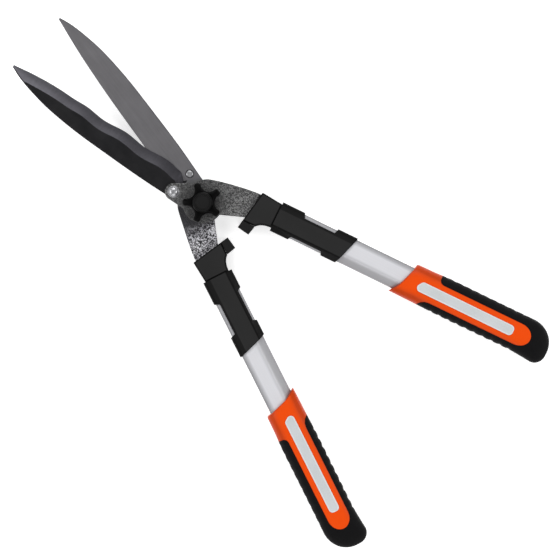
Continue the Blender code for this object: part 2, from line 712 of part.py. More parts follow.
def make_grip(side, half, handle):
    """The hard core on the tube, the soft cover round its sides and butt, and two inlays."""
    tongue = add_cutter(f"{side}_tongue", prism("tongue", [tongue_outline()], 20 * MM), handle)
    heart = add_cutter(f"{side}_heart", grip_heart("heart", GRIP_SKIN), handle)
    bore_section = wrapped(both_faces(TUBE_CIRCLES), GAP)
    bore = tube_prism("bore", [bore_section], 200 * MM, TUBE_END_U + GAP)
    core = add_part(f"{side}_grip_core", grip_form("grip_core"), handle, "orange_plastic")
    boolean(core, tongue, "INTERSECT")
    boolean(core, heart, "UNION")
    boolean(core, add_cutter(f"{side}_bore", bore, handle))

    room = add_cutter(f"{side}_tongue_room", prism("tongue_room", [tongue_outline(GAP)], 20 * MM), handle)
    heart_room = add_cutter(f"{side}_heart_room", grip_heart("heart_room", GRIP_SKIN - GAP), handle)
    cover = add_part(f"{side}_grip_cover", grip_form("grip_cover"), handle, "black_rubber")
    boolean(cover, room)
    boolean(cover, heart_room)
    shade(cover, 40)

    for sign in (1, -1):
        label = "top" if sign * FRONT_OR_REAR[half.name] > 0 else "bottom"
        outer_w = GRIP_HALF_HEIGHT + INLAY_PROUD
        middle = sign * (outer_w - INLAY_DEPTH / 2)
        inlay = add_part(
            f"{side}_inlay_{label}",
            prism("inlay", [inlay_outline()], INLAY_DEPTH / 2),
            handle,
            "silver_plastic",
            location=(0, 0, middle),
        )
        bevel(inlay, 0.35 * MM, segments=1)
        recess = prism("recess", [inlay_outline(GAP)], INLAY_DEPTH / 2 + GAP)
        boolean(core, add_cutter(f"{side}_recess_{label}", recess, handle, location=(0, 0, middle)))
    shade(core, 40)


# ---------------------------------------------------------------- pivot and knob


def make_bolt():
    """A hexagon head on the floor and a plain shank up into the knob."""
    radius = BOLT_HEAD_FLATS / 2 / math.cos(math.pi / 6)
    bolt = add_part("pivot_bolt", cylinder("pivot_bolt", radius, 0, BOLT_HEAD_HEIGHT, steps=6), None, "zinc")
    shank = cylinder("shank", BOLT_RADIUS, BOLT_HEAD_HEIGHT / 2, KNOB_Z + BOLT_REACH, steps=24)
    boolean(bolt, add_cutter("bolt_shank", shank), "UNION")


def make_washer(name, low, outer, material="zinc"):
    inner = BOLT_RADIUS + GAP
    high = low + WASHER_THICKNESS
    profile = [(inner, high), (outer, high), (outer, low), (inner, low)]
    turned(name, profile, None, material, closed=True)


def make_spring_washer():
    """A dished washer, wider at its foot."""
    inner, outer = BOLT_RADIUS + 2 * GAP, 9.5 * MM
    top, rim_top = SPRING_Z + SPRING_HEIGHT, SPRING_Z + SPRING_THICKNESS
    profile = [(inner, top), (outer, rim_top), (outer, SPRING_Z), (inner, top - SPRING_THICKNESS)]
    turned("spring_washer", profile, None, "zinc", closed=True)


def polar(radius, degrees):
    return (radius * math.cos(math.radians(degrees)), radius * math.sin(math.radians(degrees)))


def knob_outline():
    """A circle with a round scoop between each two lobes, and rounded corners."""
    radius, scoop, corner, far = KNOB_RADIUS, KNOB_SCOOP_RADIUS, KNOB_CORNER_RADIUS, KNOB_SCOOP_CENTRE
    reach, run = radius - corner, scoop + corner
    turn = math.degrees(math.acos((far**2 + reach**2 - run**2) / (2 * far * reach)))
    toward = math.degrees(math.acos((reach**2 - far**2 - run**2) / (2 * far * run)))
    pitch = 360 / KNOB_LOBES
    outline = []
    for lobe in range(KNOB_LOBES):
        axis = KNOB_PHASE - pitch / 2 + lobe * pitch
        after = axis + pitch
        outline += arc(polar(far, axis), scoop, axis + 360 - toward, axis + toward, 7)[:-1]
        outline += arc(polar(reach, axis + turn), corner, axis + toward - 180, axis + turn, 4)[:-1]
        outline += arc((0, 0), radius, axis + turn, after - turn, 1)[:-1]
        outline += arc(polar(reach, after - turn), corner, after - turn, after + 180 - toward, 4)[:-1]
    return outline


def make_knob():
    half_height = KNOB_STAR_HEIGHT / 2
    star = prism("tension_knob", [knob_outline()], half_height)
    knob = add_part("tension_knob", star, None, "black_plastic", location=(0, 0, KNOB_Z + half_height))
    bevel(knob, 1.6 * MM)
    hub = add_cutter("knob_hub", cylinder("hub", KNOB_HUB_RADIUS, KNOB_Z + 2 * MM, KNOB_Z + KNOB_HEIGHT))
    bevel(hub, 2.2 * MM)
    boolean(knob, hub, "UNION")
    pocket_radius = (NUT_FLATS / 2 + GAP) / math.cos(math.pi / 6)
    pocket_top = KNOB_Z + NUT_HEIGHT + 2 * GAP
    pocket = cylinder("pocket", pocket_radius, KNOB_Z - 2 * MM, pocket_top, steps=6)
    boolean(knob, add_cutter("knob_pocket", pocket))
    bore = cylinder("knob_bore", BOLT_RADIUS + GAP, KNOB_Z - 2 * MM, KNOB_Z + BOLT_REACH + GAP, steps=24)
    boolean(knob, add_cutter("knob_bore", bore))
    shade(knob)


def make_knob_nut():
    radius = NUT_FLATS / 2 / math.cos(math.pi / 6)
    low = KNOB_Z + GAP
    nut = add_part("knob_nut", cylinder("knob_nut", radius, low, low + NUT_HEIGHT, steps=6), None, "zinc")
    hole = cylinder("nut_hole", BOLT_RADIUS + GAP, low - MM, low + NUT_HEIGHT + MM, steps=24)
    boolean(nut, add_cutter("nut_hole", hole))


# ---------------------------------------------------------------- assembly


def make_holes(half, handle):
    """The cutters that several pieces of one half share."""
    PIVOT_HOLE[half.name] = add_cutter(
        half.name + "_pivot_hole", cylinder("pivot_hole", BOLT_RADIUS + GAP, -20 * MM, 20 * MM), handle
    )
    RIVET_HOLE[half.name] = add_cutter(
        half.name + "_rivet_hole",
        cylinder("rivet_hole", RIVET_RADIUS + GAP, -20 * MM, 20 * MM, RIVET[half.name], steps=24),
        handle,
    )
    screw_back = -FRONT_OR_REAR[half.name]
    depth = sorted((14 * MM * screw_back, -(SCREW_TIP_W + GAP) * screw_back))
    SCREW_HOLES[half.name] = [
        add_cutter(
            f"{half.name}_screw_hole_{label}",
            cylinder("screw_hole", SCREW_RADIUS + GAP, *depth, (place, TUBE_V), steps=16),
            handle,
        )
        for label, place in SCREW_U.items()
    ]


def make_half(half_name, side, turn_over):
    """One blade, its arm and its handle. The rear half is turned over about X."""
    half = new_frame(half_name, location=(0, 0, MID_Z), rotation=(math.pi if turn_over else 0, 0, 0))
    handle = new_frame(f"{side}_handle", half, rotation=(0, 0, HANDLE_ANGLE))
    make_holes(half, handle)
    if turn_over:
        make_blade("rear_blade", half, REAR_BLADE_ANGLE, REAR_EDGE, 0.0, "blade_grey")
    else:
        make_blade("front_blade", half, FRONT_BLADE_ANGLE, FRONT_EDGE, WAVE_HEIGHT, "blade_black")
    label = half_name.split("_")[0]
    make_arm(f"{label}_arm", half, handle, REAR_ARM if turn_over else FRONT_ARM)
    make_rivet(f"{label}_rivet", half, handle)
    make_buffer_head(f"{side}_buffer_head", half, handle)
    make_buffer_pad(f"{side}_buffer_pad", handle)
    make_sleeve(f"{side}_sleeve", half, handle)
    make_tube(f"{side}_tube", half, handle)
    for screw, place in SCREW_U.items():
        make_screw(f"{side}_screw_{screw}", handle, place, -FRONT_OR_REAR[half_name])
    make_grip(side, half, handle)


clear_scene()
PARTS = new_collection("hedge_shears")
CUTTERS = new_collection("cutters")
for material_name, look in MATERIALS.items():
    make_material(material_name, **look)
FRONT_OR_REAR = {"front_half": 1, "rear_half": -1}
PIVOT_HOLE, RIVET_HOLE, SCREW_HOLES = {}, {}, {}
make_half("front_half", "right", turn_over=False)
make_half("rear_half", "left", turn_over=True)
make_bolt()
make_washer("bolt_washer", BOLT_WASHER_Z, WASHER_RADIUS)
make_spring_washer()
make_washer("thrust_washer", THRUST_WASHER_Z, WASHER_RADIUS)
make_knob()
make_knob_nut()
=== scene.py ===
"""Looks for the hedge shears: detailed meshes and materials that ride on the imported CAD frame.

Metres, +Z up, in the frame's own axes. Each half of the shears is drawn in its handle's frame: u runs
along the handle tube from the pivot, v points outwards and w is the height above the plane where the
blades meet. HALF_PLACE and HANDLE_PLACE place those frames. The rear half is turned over about X.
Lists of points and circles are in millimetres, and in_metres() converts them.
"""

from math import acos, copysign, cos, degrees, hypot, pi, radians, sin, sqrt

import bmesh
import bpy
from mathutils import Matrix, Vector


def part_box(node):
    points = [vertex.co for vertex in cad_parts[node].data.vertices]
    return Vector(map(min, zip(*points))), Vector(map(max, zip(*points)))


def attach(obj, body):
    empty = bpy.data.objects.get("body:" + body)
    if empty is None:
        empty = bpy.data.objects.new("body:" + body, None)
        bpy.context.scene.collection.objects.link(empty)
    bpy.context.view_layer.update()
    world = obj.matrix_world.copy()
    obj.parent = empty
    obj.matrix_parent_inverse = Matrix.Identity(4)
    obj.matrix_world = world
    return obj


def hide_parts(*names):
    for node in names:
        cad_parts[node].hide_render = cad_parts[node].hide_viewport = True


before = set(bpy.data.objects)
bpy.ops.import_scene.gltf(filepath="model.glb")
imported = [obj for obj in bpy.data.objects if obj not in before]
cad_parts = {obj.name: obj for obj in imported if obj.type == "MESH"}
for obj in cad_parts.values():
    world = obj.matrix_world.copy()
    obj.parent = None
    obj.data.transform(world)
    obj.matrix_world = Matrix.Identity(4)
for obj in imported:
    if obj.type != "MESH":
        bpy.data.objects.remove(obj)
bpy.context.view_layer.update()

MM = 0.001
GAP = 0.3 * MM


def cad_heights(node):
    """How high the lowest and the highest point of a CAD node are."""
    low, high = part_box(node)
    return low[2], high[2]


# Heights read from the CAD.
REAR_BLADE_TOP = cad_heights("rear_blade")[1]
FRONT_BLADE_LOW, FRONT_BLADE_TOP = cad_heights("front_blade")
MID_Z = (REAR_BLADE_TOP + FRONT_BLADE_LOW) / 2
BLADE_W = FRONT_BLADE_LOW - MID_Z
BLADE_TOP_W = FRONT_BLADE_TOP - MID_Z
ARM_TOP_W = cad_heights("front_arm")[1] - MID_Z
KNOB_LOW, KNOB_TOP = cad_heights("tension_knob")

# Rest pose: how far each handle tube and each blade stands from the X axis.
HANDLE_ANGLE = radians(18.65)
BLADE_ANGLE = {"front": radians(8.85), "rear": radians(7.45)}
SIDE = {"front": "right", "rear": "left"}

# Pivot and knob.
ARM_THICKNESS = 4.0 * MM
PIVOT_HOLE_RADIUS = 4.3 * MM
HOLE_REACH = 9.0 * MM
KNOB_LOBES = 5
KNOB_RADIUS = 20.0 * MM
KNOB_SCOOP_CENTRE = 20.0 * MM
KNOB_SCOOP_RADIUS = 8.3 * MM
KNOB_CORNER_RADIUS = 2.7 * MM
KNOB_EDGE_RADIUS = 2.4 * MM
KNOB_PHASE = 80.0  # degrees, the direction of the first lobe
KNOB_STAR_TOP = KNOB_LOW + 11.0 * MM
KNOB_CROWN = 2.2 * MM
KNOB_HUB_RADIUS = 10.2 * MM
KNOB_HUB_WALL_TOP = KNOB_TOP - 2.6 * MM
KNOB_HUB_ROUND = 1.6 * MM
KNOB_CAP_RADIUS = 7.4 * MM
KNOB_CAP_LIP = 0.14 * MM
KNOB_POCKET_RADIUS = 8.2 * MM
KNOB_POCKET_DEPTH = 7.0 * MM
KNOB_BORE_DEPTH = 9.3 * MM

# Blade: p runs from the pivot to the tip, q towards the cutting edge.
BLADE_LENGTH = 234.0 * MM
BLADE_TIP_P = 205.0 * MM
BLADE_TAIL_RADIUS = 18.0 * MM
SHOULDER_P, SHOULDER_Q = 17.3 * MM, 17.3 * MM
HEEL_P, HEEL_Q = 28.5 * MM, 6.5 * MM
BEVEL_WIDTH = 10.7 * MM
BEVEL_HOLLOW = 0.22 * MM
BEVEL_COLUMNS = 4
FACE_COLUMNS = 3
EDGE_THICKNESS = 0.7 * MM
BLADE_EDGE_ROUND = 0.6 * MM
BACK_LINE = (
    (12, 13.6), (60, 16.2), (110, 16.9), (145, 16.7), (180, 14.3), (204, 10.2), (222, 5.6), (234, 0.9)
)
EDGE_LINE = {
    "front": ((28.5, 6.5), (37, 12.4), (100, 11.4), (150, 9.4), (184, 8.4), (210, 5.6), (234, 1.4)),
    "rear": ((28.5, 6.5), (37, 12.6), (88, 11.3), (122, 10.1), (158, 8.3), (195, 5.5), (234, 1.0)),
}
WAVE_HEIGHT = {"front": 1.1 * MM, "rear": 0.0}
WAVE_PITCH = 50.0 * MM
WAVE_CREST = 53.0 * MM
WAVE_FADE = (40.0 * MM, 46.0 * MM, 140.0 * MM, 180.0 * MM)

# Arm and rivet. The ring pressed round the rivet is (step out from the head's edge, height).
RIVET = {"front": (-31.2 * MM, -2.9 * MM), "rear": (-32.0 * MM, -1.1 * MM)}
RIVET_RADIUS = 3.5 * MM
RIVET_HEAD_RADIUS = 6.0 * MM
RIVET_HEAD_HEIGHT = 2.6 * MM
RIVET_DOME_RADIUS = 4.7 * MM
RIVET_RING = ((-1.0, 0.4), (-0.6, 0.75), (-0.2, 0.65), (0.0, 0.35), (0.0, 0.0))
ARM_SHOULDER_U = 52.0 * MM
ARM_OUTER = {
    "front": (
        (-18.7, 12.9), (-16, 15.4), (-12, 19.2), (-7, 22.8), (-2, 24.6),
        (10, 27.5), (30, 31.0), (44, 32.6), (52, 32.8),
    ),
    "rear": ((-11, 23.4), (-6, 25.3), (0, 26.5), (12, 28.4), (30, 31.1), (44, 32.6), (52, 32.8)),
}
# Toe radius and the angles where its arc starts and ends, boss radius and its first angle.
ARM_ROUNDS = {
    "front": (8.6 * MM, (116, 262), 20.5 * MM, 222),
    "rear": (6.6 * MM, (121, 270), 19.0 * MM, 216),
}
ARM_EDGES = (0.7 * MM, 3, 45)
ARM_INNER_V = 8.4 * MM
TANG_U = (54.0 * MM, 70.0 * MM)
TANG_HALF_WIDTH = 9.0 * MM
JOGGLE = (46.0 * MM, 58.0 * MM)

# Handle joint. Tube and sleeve sections are wrapped round circles of (v, w, radius).
TUBE_V = 20.0 * MM
TUBE_CIRCLES = ((31.0, 7.0, 3.0), (15.5, 6.5, 3.5), (10.2, 1.8, 4.2))
TUBE_WALL = 1.5 * MM
TUBE_START_U, TUBE_END_U = 72.6 * MM, 349.0 * MM
SLEEVE_CIRCLES = ((31.3, 6.5, 4.4), (27.5, 9.0, 3.0), (12.0, 9.0, 3.0), (8.0, 3.0, 3.7))
SLEEVE_START_U = 72.05 * MM
SLEEVE_END_U = (144.5 * MM, 155.0 * MM)
SLEEVE_END_CURVE = (15.7 * MM, 0.85)  # half its width, and the power of its slant
SLEEVE_EDGES = (0.7 * MM, 3, 50)
WINDOW_REACH = 16.0 * MM
OUTER_WINDOW = ((95.4, 37.5), (98.5, 30.4), (131.5, 30.4), (133.9, 37.5))
INNER_WINDOW = ((90.8, 2.5), (94.0, 7.9), (127.0, 7.9), (129.3, 2.5))
HEAD_HALF_HEIGHT = 12.0 * MM
HEAD_EDGE_RADIUS = 1.9 * MM
PAD_EDGE_RADIUS = 0.8 * MM
HEAD_START = ((43.4, 1.6),)
HEAD_END = ((72, 33.2), (49.3, 35.3))
PAD_OUTLINE = ((42.0, -6.6), (54.5, -8.6), (56.0, -2.2), (56.7, 1.4), (43.3, 1.4))
POCKET_ROOM = 0.1 * MM
POCKET_OUTLINE = (
    (36, 1.9), (52.1, 8.2), (54.2, 10.9), (70.1, 10.9), (70.1, 29.1), (54.2, 29.1), (52.1, 33), (36, 33)
)
NOTCH_CENTRE = (72.0, -2.0)
NOTCH_RADII = (16.0, 9.5)
SCREW_U = {"inner": 84.0 * MM, "outer": 120.0 * MM}
SCREW_RADIUS = 1.6 * MM
SCREW_HEAD_RADIUS = 3.3 * MM
SCREW_HEAD_HEIGHT = 1.6 * MM
SCREW_TIP_W = 7.0 * MM
RECESS_LENGTH, RECESS_WIDTH, RECESS_DEPTH = 3.6 * MM, 0.8 * MM, 1.1 * MM

# Grip.
GRIP_POINTS = 72
GRIP_START_U = (203.5 * MM, 219.6 * MM)
GRIP_FIRST_U = 212.0 * MM  # the section that the start is drawn from
GRIP_START_CURVE = (17.8 * MM, 0.5)  # half its width, and the power of its slant
GRIP_START_ROUND = ((0.0, 0.955), (0.25 * MM, 0.98), (0.9 * MM, 0.995))  # (step along u, size there)
GRIP_HALF_HEIGHT = 14.55 * MM
GRIP_SQUARENESS = 3.0
GRIP_SKIN = 2.0 * MM
GRIP_OUTER = ((200, 38.5), (228, 39.1), (240, 39.3), (254, 40.1), (300, 40.3), (349, 40.5))
GRIP_INNER = ((200, 2.6), (240, 2.2), (256, 1.8), (300, 2.0), (340, 2.3), (352, 1.6), (363, 0.5))
GRIP_BUTT_U = 374.2 * MM
BUTT_OUTER_CENTRE = (349.0 * MM, 17.0 * MM)
BUTT_INNER_CENTRE = (363.0 * MM, 12.0 * MM)
BUTT_START_U = 346.0 * MM
HEART_STATIONS = (230, 252, 290, 345, 352, 356, 360, 363, 366, 368)
RIDGE_PITCH = 9.6 * MM
RIDGE_DEPTH = 0.8 * MM
RIDGES = (247.0 * MM, 343.0 * MM)
TONGUE_END = (339.5 * MM, 20.0 * MM)
TONGUE_END_RADII = (13.3 * MM, 10.9 * MM)
TONGUE_INNER = ((195, -5), (232, -5), (234, -0.5), (235.5, 2.7), (238.3, 6.0), (242, 8.0), (246, 8.8))
TONGUE_OUTER = (
    (252, 30.7), (249.8, 31.3), (248.4, 32.2), (247.5, 33.6), (247, 35.2), (247, 46), (195, 46)
)
TONGUE_ROOM = 0.22 * MM
TONGUE_REACH = 20.0 * MM
INLAY_CIRCLES = ((330.0, 21.25, 4.1), (234.4, 21.25, 4.1), (232.7, 18.8, 4.1), (330.0, 18.8, 4.1))
INLAY_DEPTH = 2.0 * MM
INLAY_ROOM = 0.12 * MM
# Rings of the inlay: millimetres in from its outline, and height as a share of half its depth.
INLAY_RINGS = (
    (0.0, -1.0), (0.0, 0.75), (0.12, 0.93), (0.3, 1.0),
    (0.7, 1.0), (0.85, 0.93), (0.95, 0.8), (1.2, 0.76),
)

# Tones that change over a surface: painted shade across the tube as (v in millimetres, tone), and the
# bevel's tone along the blade as (p in metres, factor).
TUBE_PAINTED_SHADE = (
    (6, 0.28), (8, 0.38), (12, 0.40), (14, 0.54), (17.5, 0.81), (28, 0.81), (31, 0.50), (34, 0.16)
)
BEVEL_DRIFT = ((30 * MM, 0.66), (95 * MM, 0.86), (150 * MM, 0.95), (225 * MM, 1.3))
# Painted shade on faces turned off the flat: its factor, and the two cosines between which it fades in.
SIDE_SHADE_BLACK = (0.2, 0.955, 0.995)
SIDE_SHADE_CAP = (0.1, 0.90, 0.995)
SIDE_SHADE_ORANGE = (0.62, 0.90, 0.998)

# Floor, light and camera.
FLOOR_SIZE = 40.0
FLOOR_Z = -0.05 * MM
FLOOR_REACH = (2.0, 6.0)
FLOOR_GLOW = (0.58, 0.75)  # near the shears, and far out where the lamps no longer reach
SKY_HORIZON, SKY_ZENITH = 0.8, 0.36
LAMPS = ((135, 21), (225, 17), (315, 14), (45, 17))  # direction in degrees, power in watts
LAMP_TARGET = Vector((0.1, 0.0, 0.0))
LAMP_DISTANCE, LAMP_HEIGHT, LAMP_SIZE = 1.9, 1.75, 1.3
SENSOR_WIDTH = 36.0
VIEW_SPAN = 0.560  # metres across the view at the blades
VIEW_CENTRE = (108.9 * MM, -0.7 * MM)
CAMERA_HEIGHT = 3.0
CAMERA_ROLL = radians(44.65)

TURN_OVER = Matrix.Rotation(pi, 4, "X")
LIFT = Matrix.Translation((0, 0, MID_Z))
HALF_PLACE = {"front": LIFT, "rear": LIFT @ TURN_OVER}
HANDLE_PLACE = {
    half: place @ Matrix.Rotation(HANDLE_ANGLE, 4, "Z") for half, place in HALF_PLACE.items()
}


# ---- shape helpers


def in_metres(points):
    return [tuple(value * MM for value in point) for point in points]


def arc(centre, radius, start, end, steps, radius_y=None):
    """Points on an arc from the start to the end angle in degrees, elliptical with a second radius."""
    angles = [radians(start + (end - start) * i / steps) for i in range(steps + 1)]
    high = radius if radius_y is None else radius_y
    return [(centre[0] + radius * cos(a), centre[1] + high * sin(a)) for a in angles]


def polar(radius, turn):
    angle = radians(turn)
    return (radius * cos(angle), radius * sin(angle))


def quarter_turn(steps):
    return [radians(90 * i / steps) for i in range(steps + 1)]


def wrapped(circles, grow=0.0, step=5):
    """The convex outline that wraps circles (x, y, radius), made larger by grow."""
    outline = []
    for index in range(round(360 / step)):
        angle = radians((index + 0.5) * step)
        x, y = cos(angle), sin(angle)
        centre_x, centre_y, radius = max(circles, key=lambda c: c[0] * x + c[1] * y + c[2])
        outline.append((centre_x + (radius + grow) * x, centre_y + (radius + grow) * y))
    return outline


def both_faces(circles):
    upper = in_metres(circles)
    return upper + [(v, -w, radius) for v, w, radius in upper]


def smooth_value(keys, x):
    """The height at x of a smooth curve through (x, height) keys, both in metres."""
    x = min(max(x, keys[0][0]), keys[-1][0])
    index = max(i for i in range(len(keys) - 1) if keys[i][0] <= x or i == 0)
    (x0, y0), (x1, y1) = keys[index], keys[index + 1]

    def slope(i):
        before, after = keys[max(i - 1, 0)], keys[min(i + 1, len(keys) - 1)]
        return (after[1] - before[1]) / (after[0] - before[0])

    span = x1 - x0
    t = (x - x0) / span
    return (
        y0 * (2 * t**3 - 3 * t**2 + 1)
        + slope(index) * span * (t**3 - 2 * t**2 + t)
        + y1 * (3 * t**2 - 2 * t**3)
        + slope(index + 1) * span * (t**3 - t**2)
    )


def ramp(x, start, end):
    """0 before the start, 1 after the end, and a smooth rise between them."""
    t = min(max((x - start) / (end - start), 0.0), 1.0)
    return t * t * (3 - 2 * t)


def spaced(start, end, count):
    return [start + (end - start) * i / (count - 1) for i in range(count)]


# ---- mesh helpers


def bmesh_to_mesh(work):
    bmesh.ops.recalc_face_normals(work, faces=work.faces)
    mesh = bpy.data.meshes.new("shape")
    work.to_mesh(mesh)
    work.free()
    return mesh


def join_rings(work, ring, after):
    """Four-sided faces between two closed rings of equally many vertices."""
    for i in range(len(ring)):
        j = (i + 1) % len(ring)
        work.faces.new((ring[i], ring[j], after[j], after[i]))


def loft(sections):
    """A mesh: a solid through loops of equally many points."""
    work = bmesh.new()
    rings = [[work.verts.new(point) for point in section] for section in sections]
    for ring, after in zip(rings, rings[1:]):
        join_rings(work, ring, after)
    work.faces.new(rings[0])
    work.faces.new(rings[-1])
    return bmesh_to_mesh(work)


def plate(outline, low, high):
    """A mesh: one outline given thickness along Z, with whole faces for ends."""
    return loft([[(x, y, z) for x, y in outline] for z in (low, high)])


def pipe(outer, inner, start_u, end_u):
    """A mesh: an outline in the (v, w) plane drawn out along u, with a bore of as many points."""
    work = bmesh.new()
    outer, inner = [
        [[work.verts.new((u, v, w)) for v, w in outline] for u in (start_u, end_u)]
        for outline in (outer, inner)
    ]
    join_rings(work, *outer)
    join_rings(work, *inner)
    for end in (0, 1):
        join_rings(work, outer[end], inner[end])
    return bmesh_to_mesh(work)


def inset(outline, depth):
    """The outline drawn in by depth on every side."""
    points = [Vector(point) for point in outline]
    count = len(points)
    area = sum(points[i - 1].cross(points[i]) for i in range(count))
    made = []
    for i in range(count):
        before = (points[i] - points[i - 1]).normalized()
        after = (points[(i + 1) % count] - points[i]).normalized()
        inward = [Vector((-run.y, run.x)) * copysign(1.0, area) for run in (before, after)]
        miter = depth / (1 + inward[0].dot(inward[1]))
        made.append(tuple(points[i] + (inward[0] + inward[1]) * miter))
    return made


def rounded_plate(outline, half_height, radius):
    """A mesh: an outline given thickness about Z = 0, with its upper and lower edges rounded."""
    quarter = quarter_turn(5)
    rings = [(radius * (1 - sin(a)), half_height - radius * (1 - cos(a))) for a in quarter]
    levels = [(depth, -level) for depth, level in rings] + rings[::-1]
    return loft([[(x, y, level) for x, y in inset(outline, depth)] for depth, level in levels])


def lathe(profile, steps, at=(0, 0)):
    """A mesh turned about a line along Z through at, from a profile of (radius, z)."""
    work = bmesh.new()
    rings = []
    for radius, z in profile:
        turns = [2 * pi * i / steps for i in range(steps)] if radius >= 1e-6 else [0.0]
        places = [(at[0] + radius * cos(a), at[1] + radius * sin(a), z) for a in turns]
        rings.append([work.verts.new(place) for place in places])
    for ring, after in zip(rings, rings[1:]):
        for i in range(steps):
            j = (i + 1) % steps
            corners = [ring[i % len(ring)], ring[j % len(ring)]]
            corners += [after[j % len(after)], after[i % len(after)]]
            work.faces.new(list(dict.fromkeys(corners)))
    return bmesh_to_mesh(work)


def box(low, high):
    work = bmesh.new()
    centre = Matrix.Translation((Vector(high) + Vector(low)) / 2)
    size = Matrix.Diagonal((*(Vector(high) - Vector(low)), 1.0))
    bmesh.ops.create_cube(work, size=1.0, matrix=centre @ size)
    return bmesh_to_mesh(work)


def placed(name, data):
    """A new object in the scene."""
    obj = bpy.data.objects.new(name, data)
    bpy.context.scene.collection.objects.link(obj)
    return obj


def cut(mesh, other, operation="DIFFERENCE"):
    """The mesh that an exact Boolean makes of two meshes in the same frame."""
    obj, cutter = placed("shape", mesh), placed("cutter", other)
    modifier = obj.modifiers.new("Boolean", "BOOLEAN")
    modifier.object = cutter
    modifier.operation = operation
    modifier.solver = "EXACT"
    graph = bpy.context.evaluated_depsgraph_get()
    made = bpy.data.meshes.new_from_object(obj.evaluated_get(graph))
    bpy.data.objects.remove(obj, do_unlink=True)
    bpy.data.objects.remove(cutter, do_unlink=True)
    return made


def drill(mesh, radius, at=(0, 0)):
    """The mesh with a round hole through it along Z."""
    profile = [(0, -HOLE_REACH), (radius, -HOLE_REACH), (radius, HOLE_REACH), (0, HOLE_REACH)]
    return cut(mesh, lathe(profile, 48, at))


def tidy_up(mesh, flat=None):
    """Merges doubled points that a Boolean leaves, and closes slits.

    With flat, faces that turn by less than that many degrees become one.
    """
    work = bmesh.new()
    work.from_mesh(mesh)
    bmesh.ops.remove_doubles(work, verts=work.verts, dist=0.01 * MM)
    bmesh.ops.dissolve_degenerate(work, edges=work.edges, dist=0.005 * MM)
    if flat:
        limit = radians(flat)
        bmesh.ops.dissolve_limit(work, angle_limit=limit, verts=work.verts, edges=work.edges)
    bmesh.ops.holes_fill(work, edges=[edge for edge in work.edges if edge.is_boundary], sides=4)
    work.to_mesh(mesh)
    work.free()
    return mesh


def round_edges(obj, width, segments, angle):
    """Rounds the edges that turn by more than angle degrees."""
    modifier = obj.modifiers.new("Rounded edges", "BEVEL")
    modifier.width = width
    modifier.segments = segments
    modifier.limit_method = "ANGLE"
    modifier.angle_limit = radians(angle)


def piece(node, mesh, place, body, materials, slot, bevel=None, sharp=30):
    """A shown piece that stands for one CAD node and moves with its body.

    Bevel holds the arguments of round_edges. Without it, edges of more than sharp degrees stay crisp.
    """
    mesh.name = node
    obj = placed(f"{node}_look", mesh)
    obj.matrix_world = place
    faces = [polygon.material_index for polygon in mesh.polygons]
    mesh.materials.clear()
    for material in materials:
        mesh.materials.append(material)
    mesh.polygons.foreach_set("material_index", faces)
    mesh.shade_smooth()
    if bevel:
        round_edges(obj, *bevel)
        normals = obj.modifiers.new("Flat faces stay flat", "WEIGHTED_NORMAL")
        normals.keep_sharp = True
        normals.weight = 60
    else:
        mesh.set_sharp_from_angle(angle=radians(sharp))
    bpy.context.view_layer.update()
    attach(obj, body)
    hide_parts(node)


def handle_piece(half, node, mesh, materials, slot, **edges):
    """A piece that is drawn in its handle's frame."""
    piece(node, mesh, HANDLE_PLACE[half], f"{half}_half", materials, slot, **edges)


# ---- material helpers


